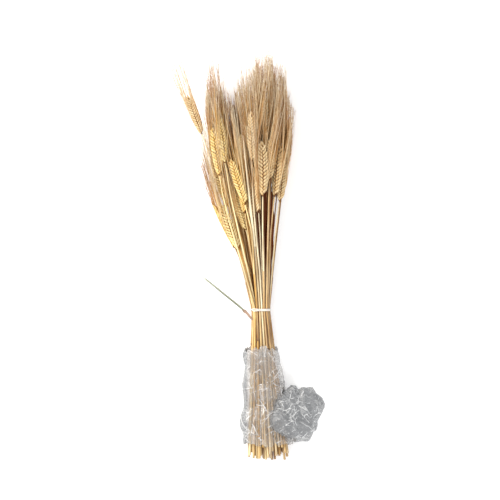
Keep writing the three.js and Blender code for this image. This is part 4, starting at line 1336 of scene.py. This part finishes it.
# The share of its length up to which the leaf is brown and half open, and how far it rolls up
LEAF_BROWN, LEAF_OPEN_CURL, LEAF_ROLL = 0.27, 0.5, 2.2
LEAF_WRINKLE = 0.9 * MM


def leaf_line():
    """The leaf's own line, at even steps from its root to its tip, and its length."""
    points, _ = merged_solid("leaf")
    middle = points.mean(0)
    way = np.linalg.svd(points - middle)[2][0]
    way = way if way[0] < 0 else -way
    order = np.argsort((points - middle) @ way)
    rings = [order[:1], *np.split(order[1:-1], 7), order[-1:]]
    centres = np.array([points[ring].mean(0) for ring in rings])
    travel = np.concatenate([[0], np.cumsum(np.linalg.norm(np.diff(centres, axis=0), axis=1))])
    centres[:, 1] += np.interp(travel / travel[-1], *zip(*LEAF_STRAIGHTENED)) * MM
    line = between(centres, travel, np.linspace(0, 1, LEAF_ROWS + 1) * travel[-1])
    padded = np.pad(line, ((9, 9), (0, 0)), "reflect", reflect_type="odd")
    return smoothed(padded, np.ones(19)), travel[-1]


def dried_leaf():
    """A blade that follows its solid: wrinkled and half open at its root, rolled up further out."""
    line, length = leaf_line()
    fresh_start()
    bpy.ops.mesh.primitive_grid_add(x_subdivisions=LEAF_ACROSS, y_subdivisions=LEAF_ROWS, size=2)
    piece = bpy.context.object
    corners = np.array([v.co for v in piece.data.vertices])
    share = (corners[:, 1] + 1) / 2
    row = np.round(share * LEAF_ROWS).astype(int)
    brown = np.clip((LEAF_BROWN - share) / 0.06, 0, 1)
    half = np.interp(share, *zip(*LEAF_HALF_WIDTHS)) * MM
    curl = LEAF_OPEN_CURL + LEAF_ROLL * (1 - brown)
    angle = corners[:, 0] * curl
    x = half * np.sin(angle) / np.maximum(curl, 0.8) * 1.25
    z = half * (1 - np.cos(angle)) / np.maximum(curl, 0.8)
    wrinkle = np.array([noise.noise(Vector((9 * c[0] / 4, 60 * t, 0))) for c, t in zip(corners, share)])
    z = z + brown * LEAF_WRINKLE * wrinkle - half * 0.4
    twist = 1.2 * share + 0.3 * np.sin(9 * share)
    x, z = x * np.cos(twist) - z * np.sin(twist), x * np.sin(twist) + z * np.cos(twist)
    _, across, up = frames_along(line)
    reshaped(piece, "leaf_dried", line[row] + x[:, None] * across[row] + z[:, None] * up[row])
    write_attribute(piece.data, "tip", share)
    write_attribute(piece.data, "grain", np.stack([corners[:, 0] * half, share * length, 0 * share], 1))
    return thickened(piece, LEAF_THICK)


# Properties, operators and panel

# The scale of the photo, and the point of the bundle that its middle shows, in metres
PHOTO_PIXELS = 500
PIXEL_SIZE = 1.55 * MM
PHOTO_MIDDLE = (0.0044, 0.006, 0.028)
# The camera's lens and sensor, in millimetres
LENS, SENSOR = 110, 36
TABLE_SIZE = 12
DAYLIGHT = 0.95
# The lights: name, place and size in metres, power in watts, and colour
LIGHTS = (
    ("window", (-1.6, 0.5, 1.3), 1.2, 42, (1, 0.97, 0.92)),
    ("lamp", (0.9, -1.4, 1.7), 0.25, 7, (0.97, 0.98, 1)),
)


def colour_property(name, description, default):
    """A colour that the user may pick, given as sRGB hex."""
    kind = {"subtype": "COLOR", "size": 4, "min": 0.0, "max": 1.0}
    return bpy.props.FloatVectorProperty(name=name, description=description, default=linear(default), **kind)


class WheatBundleSettings(bpy.types.PropertyGroup):
    """Sizes and colours of the bundle that a user may change."""

    awn_radius: bpy.props.FloatProperty(
        name="Awn radius", description="Radius of an awn at its husk", default=0.00048, unit="LENGTH"
    )
    film_thickness: bpy.props.FloatProperty(
        name="Film thickness", description="Thickness of the film", default=0.00025, unit="LENGTH"
    )
    golden_straw: colour_property("Golden straw", "Middle tone of the straws on the left", "#dca852")
    beige_straw: colour_property("Beige straw", "Middle tone of the straws on the right", "#dcab5c")
    golden_chaff: colour_property("Golden chaff", "Middle tone of the ears on the left", "#f1c870")
    beige_chaff: colour_property("Beige chaff", "Middle tone of the ears on the right", "#ddb77b")
    awns: colour_property("Awns", "Middle tone of the awns", "#dfad6a")
    band: colour_property("Rubber band", "Colour of the rubber band", "#f3efe6")
    leaf: colour_property("Leaf", "Colour of the leaf where it has rolled up", "#abae9a")


class WHEAT_OT_stage(bpy.types.Operator):
    """Sets up the table, the light and the camera above the bundle"""

    bl_idname = "wheat.stage"
    bl_label = "Stage"

    def execute(self, context):
        fresh_start()
        bpy.ops.mesh.primitive_plane_add(size=TABLE_SIZE, location=(0, 0, 0))
        table = context.object
        table.name = "table"
        table.data.materials.append(floor_material())
        world = bpy.data.worlds.new("soft_daylight")
        context.scene.world = world
        world.use_nodes = True
        background = world.node_tree.nodes["Background"]
        background.inputs["Color"].default_value = (1, 1, 1, 1)
        background.inputs["Strength"].default_value = DAYLIGHT
        for name, place, size, power, colour in LIGHTS:
            bpy.ops.object.light_add(type="AREA", location=place)
            light = context.object
            light.name = name
            light.data.size = size
            light.data.energy = power
            light.data.color = colour
            towards = Vector((0, 0, 0.03)) - light.location
            light.rotation_euler = towards.to_track_quat("-Z", "Y").to_euler()
        context.scene.view_settings.view_transform = "Standard"
        x, y, z = PHOTO_MIDDLE
        above = z + PHOTO_PIXELS * PIXEL_SIZE * LENS / SENSOR
        bpy.ops.object.camera_add(location=(x, y, above), rotation=(0, 0, 0))
        camera = context.object
        camera.data.lens = LENS
        camera.data.clip_end = 20
        context.scene.camera = camera
        return {"FINISHED"}


class WHEAT_OT_stalks(bpy.types.Operator):
    """Grows the wheat stalks with their ears and awns"""

    bl_idname = "wheat.stalks"
    bl_label = "Wheat stalks"

    def execute(self, context):
        templates = {"straw": model_straw(), "husk": model_husk(), "awn": model_awn()}
        golden, beige = stalk_materials(context.scene.wheat_bundle)
        for number, name in enumerate(WHEAT_STALKS):
            stalk = read_stalk(name)
            random = np.random.default_rng(SEED + number)
            x, _, height = point_at(stalk["line"], BAND_Y)
            on_left = point_at(stalk["line"], stalk["base"])[0] < GOLDEN_SIDE
            lower = 1 - height / TOP_AT_BAND
            # The lowest stalks and those on the bundle's right are painted browner, as painted shade
            tone = random.uniform(-0.6, 1.0) - PAINTED_SHADE_LOW[0 if on_left else 1] * lower
            tone = tone - PAINTED_SHADE_RIGHT * np.clip((x - BUNDLE_X) / INSIDE, 0, 1)
            growing = Growing()
            grow_straw(growing, templates["straw"], stalk, random, tone, *knot_and_sheath(stalk, random))
            grow_ear(growing, templates, stalk, random, tone)
            if height < LOW_AT_BAND and abs(x - BUNDLE_X) < INSIDE:
                grow_blade(growing, templates["straw"], stalk, random)
            slots = list(golden if on_left and name != LEANING_OUT else beige)
            if point_at(stalk["line"], 0.0)[0] < MIDDLE_BLADES:
                slots[BLADE] = golden[BLADE]
            piece = growing.made(stalk["name"] + "_grown", slots)
            placed(piece, stalk["name"])
        return {"FINISHED"}


class WHEAT_OT_bare_straws(bpy.types.Operator):
    """Grows the straws that have lost their ears"""

    bl_idname = "wheat.bare_straws"
    bl_label = "Bare straws"

    def execute(self, context):
        template = model_straw()
        materials = [straw_material("pale_straw", "#f8edcb", "#e0bd7c", "#8a5424", 0.38), pith_material()]
        for number, name in enumerate(BARE_STRAWS):
            random = np.random.default_rng(SEED + 100 + number)
            stalk = read_stalk(name)
            # Only the first one, in front, keeps its sheath
            tone, sheath = (0.6, (SHEATH_EDGE, stalk["high"])) if number == 0 else (0.9, None)
            growing = Growing()
            grow_straw(growing, template, stalk, random, tone, stalk["low"] + 90 * MM, sheath)
            piece = growing.made(name + "_grown", materials)
            placed(piece, name)
        return {"FINISHED"}


class WHEAT_OT_band(bpy.types.Operator):
    """Winds the rubber band twice round the stalks"""

    bl_idname = "wheat.band"
    bl_label = "Rubber band"

    def execute(self, context):
        piece = wound_band()
        piece.data.materials.append(rubber_material(context.scene.wheat_bundle.band))
        piece.data.shade_smooth()
        placed(piece, "rubber_band")
        return {"FINISHED"}


class WHEAT_OT_leaf(bpy.types.Operator):
    """Shapes the dried leaf that hangs on at the band"""

    bl_idname = "wheat.leaf"
    bl_label = "Leaf"

    def execute(self, context):
        piece = dried_leaf()
        piece.data.materials.append(leaf_material(context.scene.wheat_bundle.leaf))
        piece.data.shade_smooth()
        placed(piece, "leaf")
        return {"FINISHED"}


class WHEAT_OT_film(bpy.types.Operator):
    """Crumples the film sleeve round the cut ends"""

    bl_idname = "wheat.film"
    bl_label = "Film sleeve"

    def execute(self, context):
        piece = film_sleeve(context.scene.wheat_bundle.film_thickness)
        piece.data.materials.append(film_material())
        placed(piece, "film_sleeve")
        return {"FINISHED"}


class WHEAT_PT_bundle(bpy.types.Panel):
    """Lists the steps that build the bundle"""

    bl_idname = "WHEAT_PT_bundle"
    bl_label = "Dried wheat bundle"
    bl_space_type = "VIEW_3D"
    bl_region_type = "UI"
    bl_category = "Wheat"

    def draw(self, context):
        for key in WheatBundleSettings.__annotations__:
            self.layout.prop(context.scene.wheat_bundle, key)
        for operator in STEPS:
            self.layout.operator(operator.bl_idname)


STEPS = (WHEAT_OT_stage, WHEAT_OT_stalks, WHEAT_OT_bare_straws, WHEAT_OT_band, WHEAT_OT_leaf, WHEAT_OT_film)
CLASSES = (WheatBundleSettings, *STEPS, WHEAT_PT_bundle)


def register():
    for cls in CLASSES:
        bpy.utils.register_class(cls)
    bpy.types.Scene.wheat_bundle = bpy.props.PointerProperty(type=WheatBundleSettings)


def unregister():
    del bpy.types.Scene.wheat_bundle
    for cls in reversed(CLASSES):
        bpy.utils.unregister_class(cls)


def main():
    register()
    bpy.ops.wheat.stage()
    bpy.ops.wheat.stalks()
    bpy.ops.wheat.bare_straws()
    bpy.ops.wheat.band()
    bpy.ops.wheat.leaf()
    bpy.ops.wheat.film()


if __name__ == "__main__":
    main()
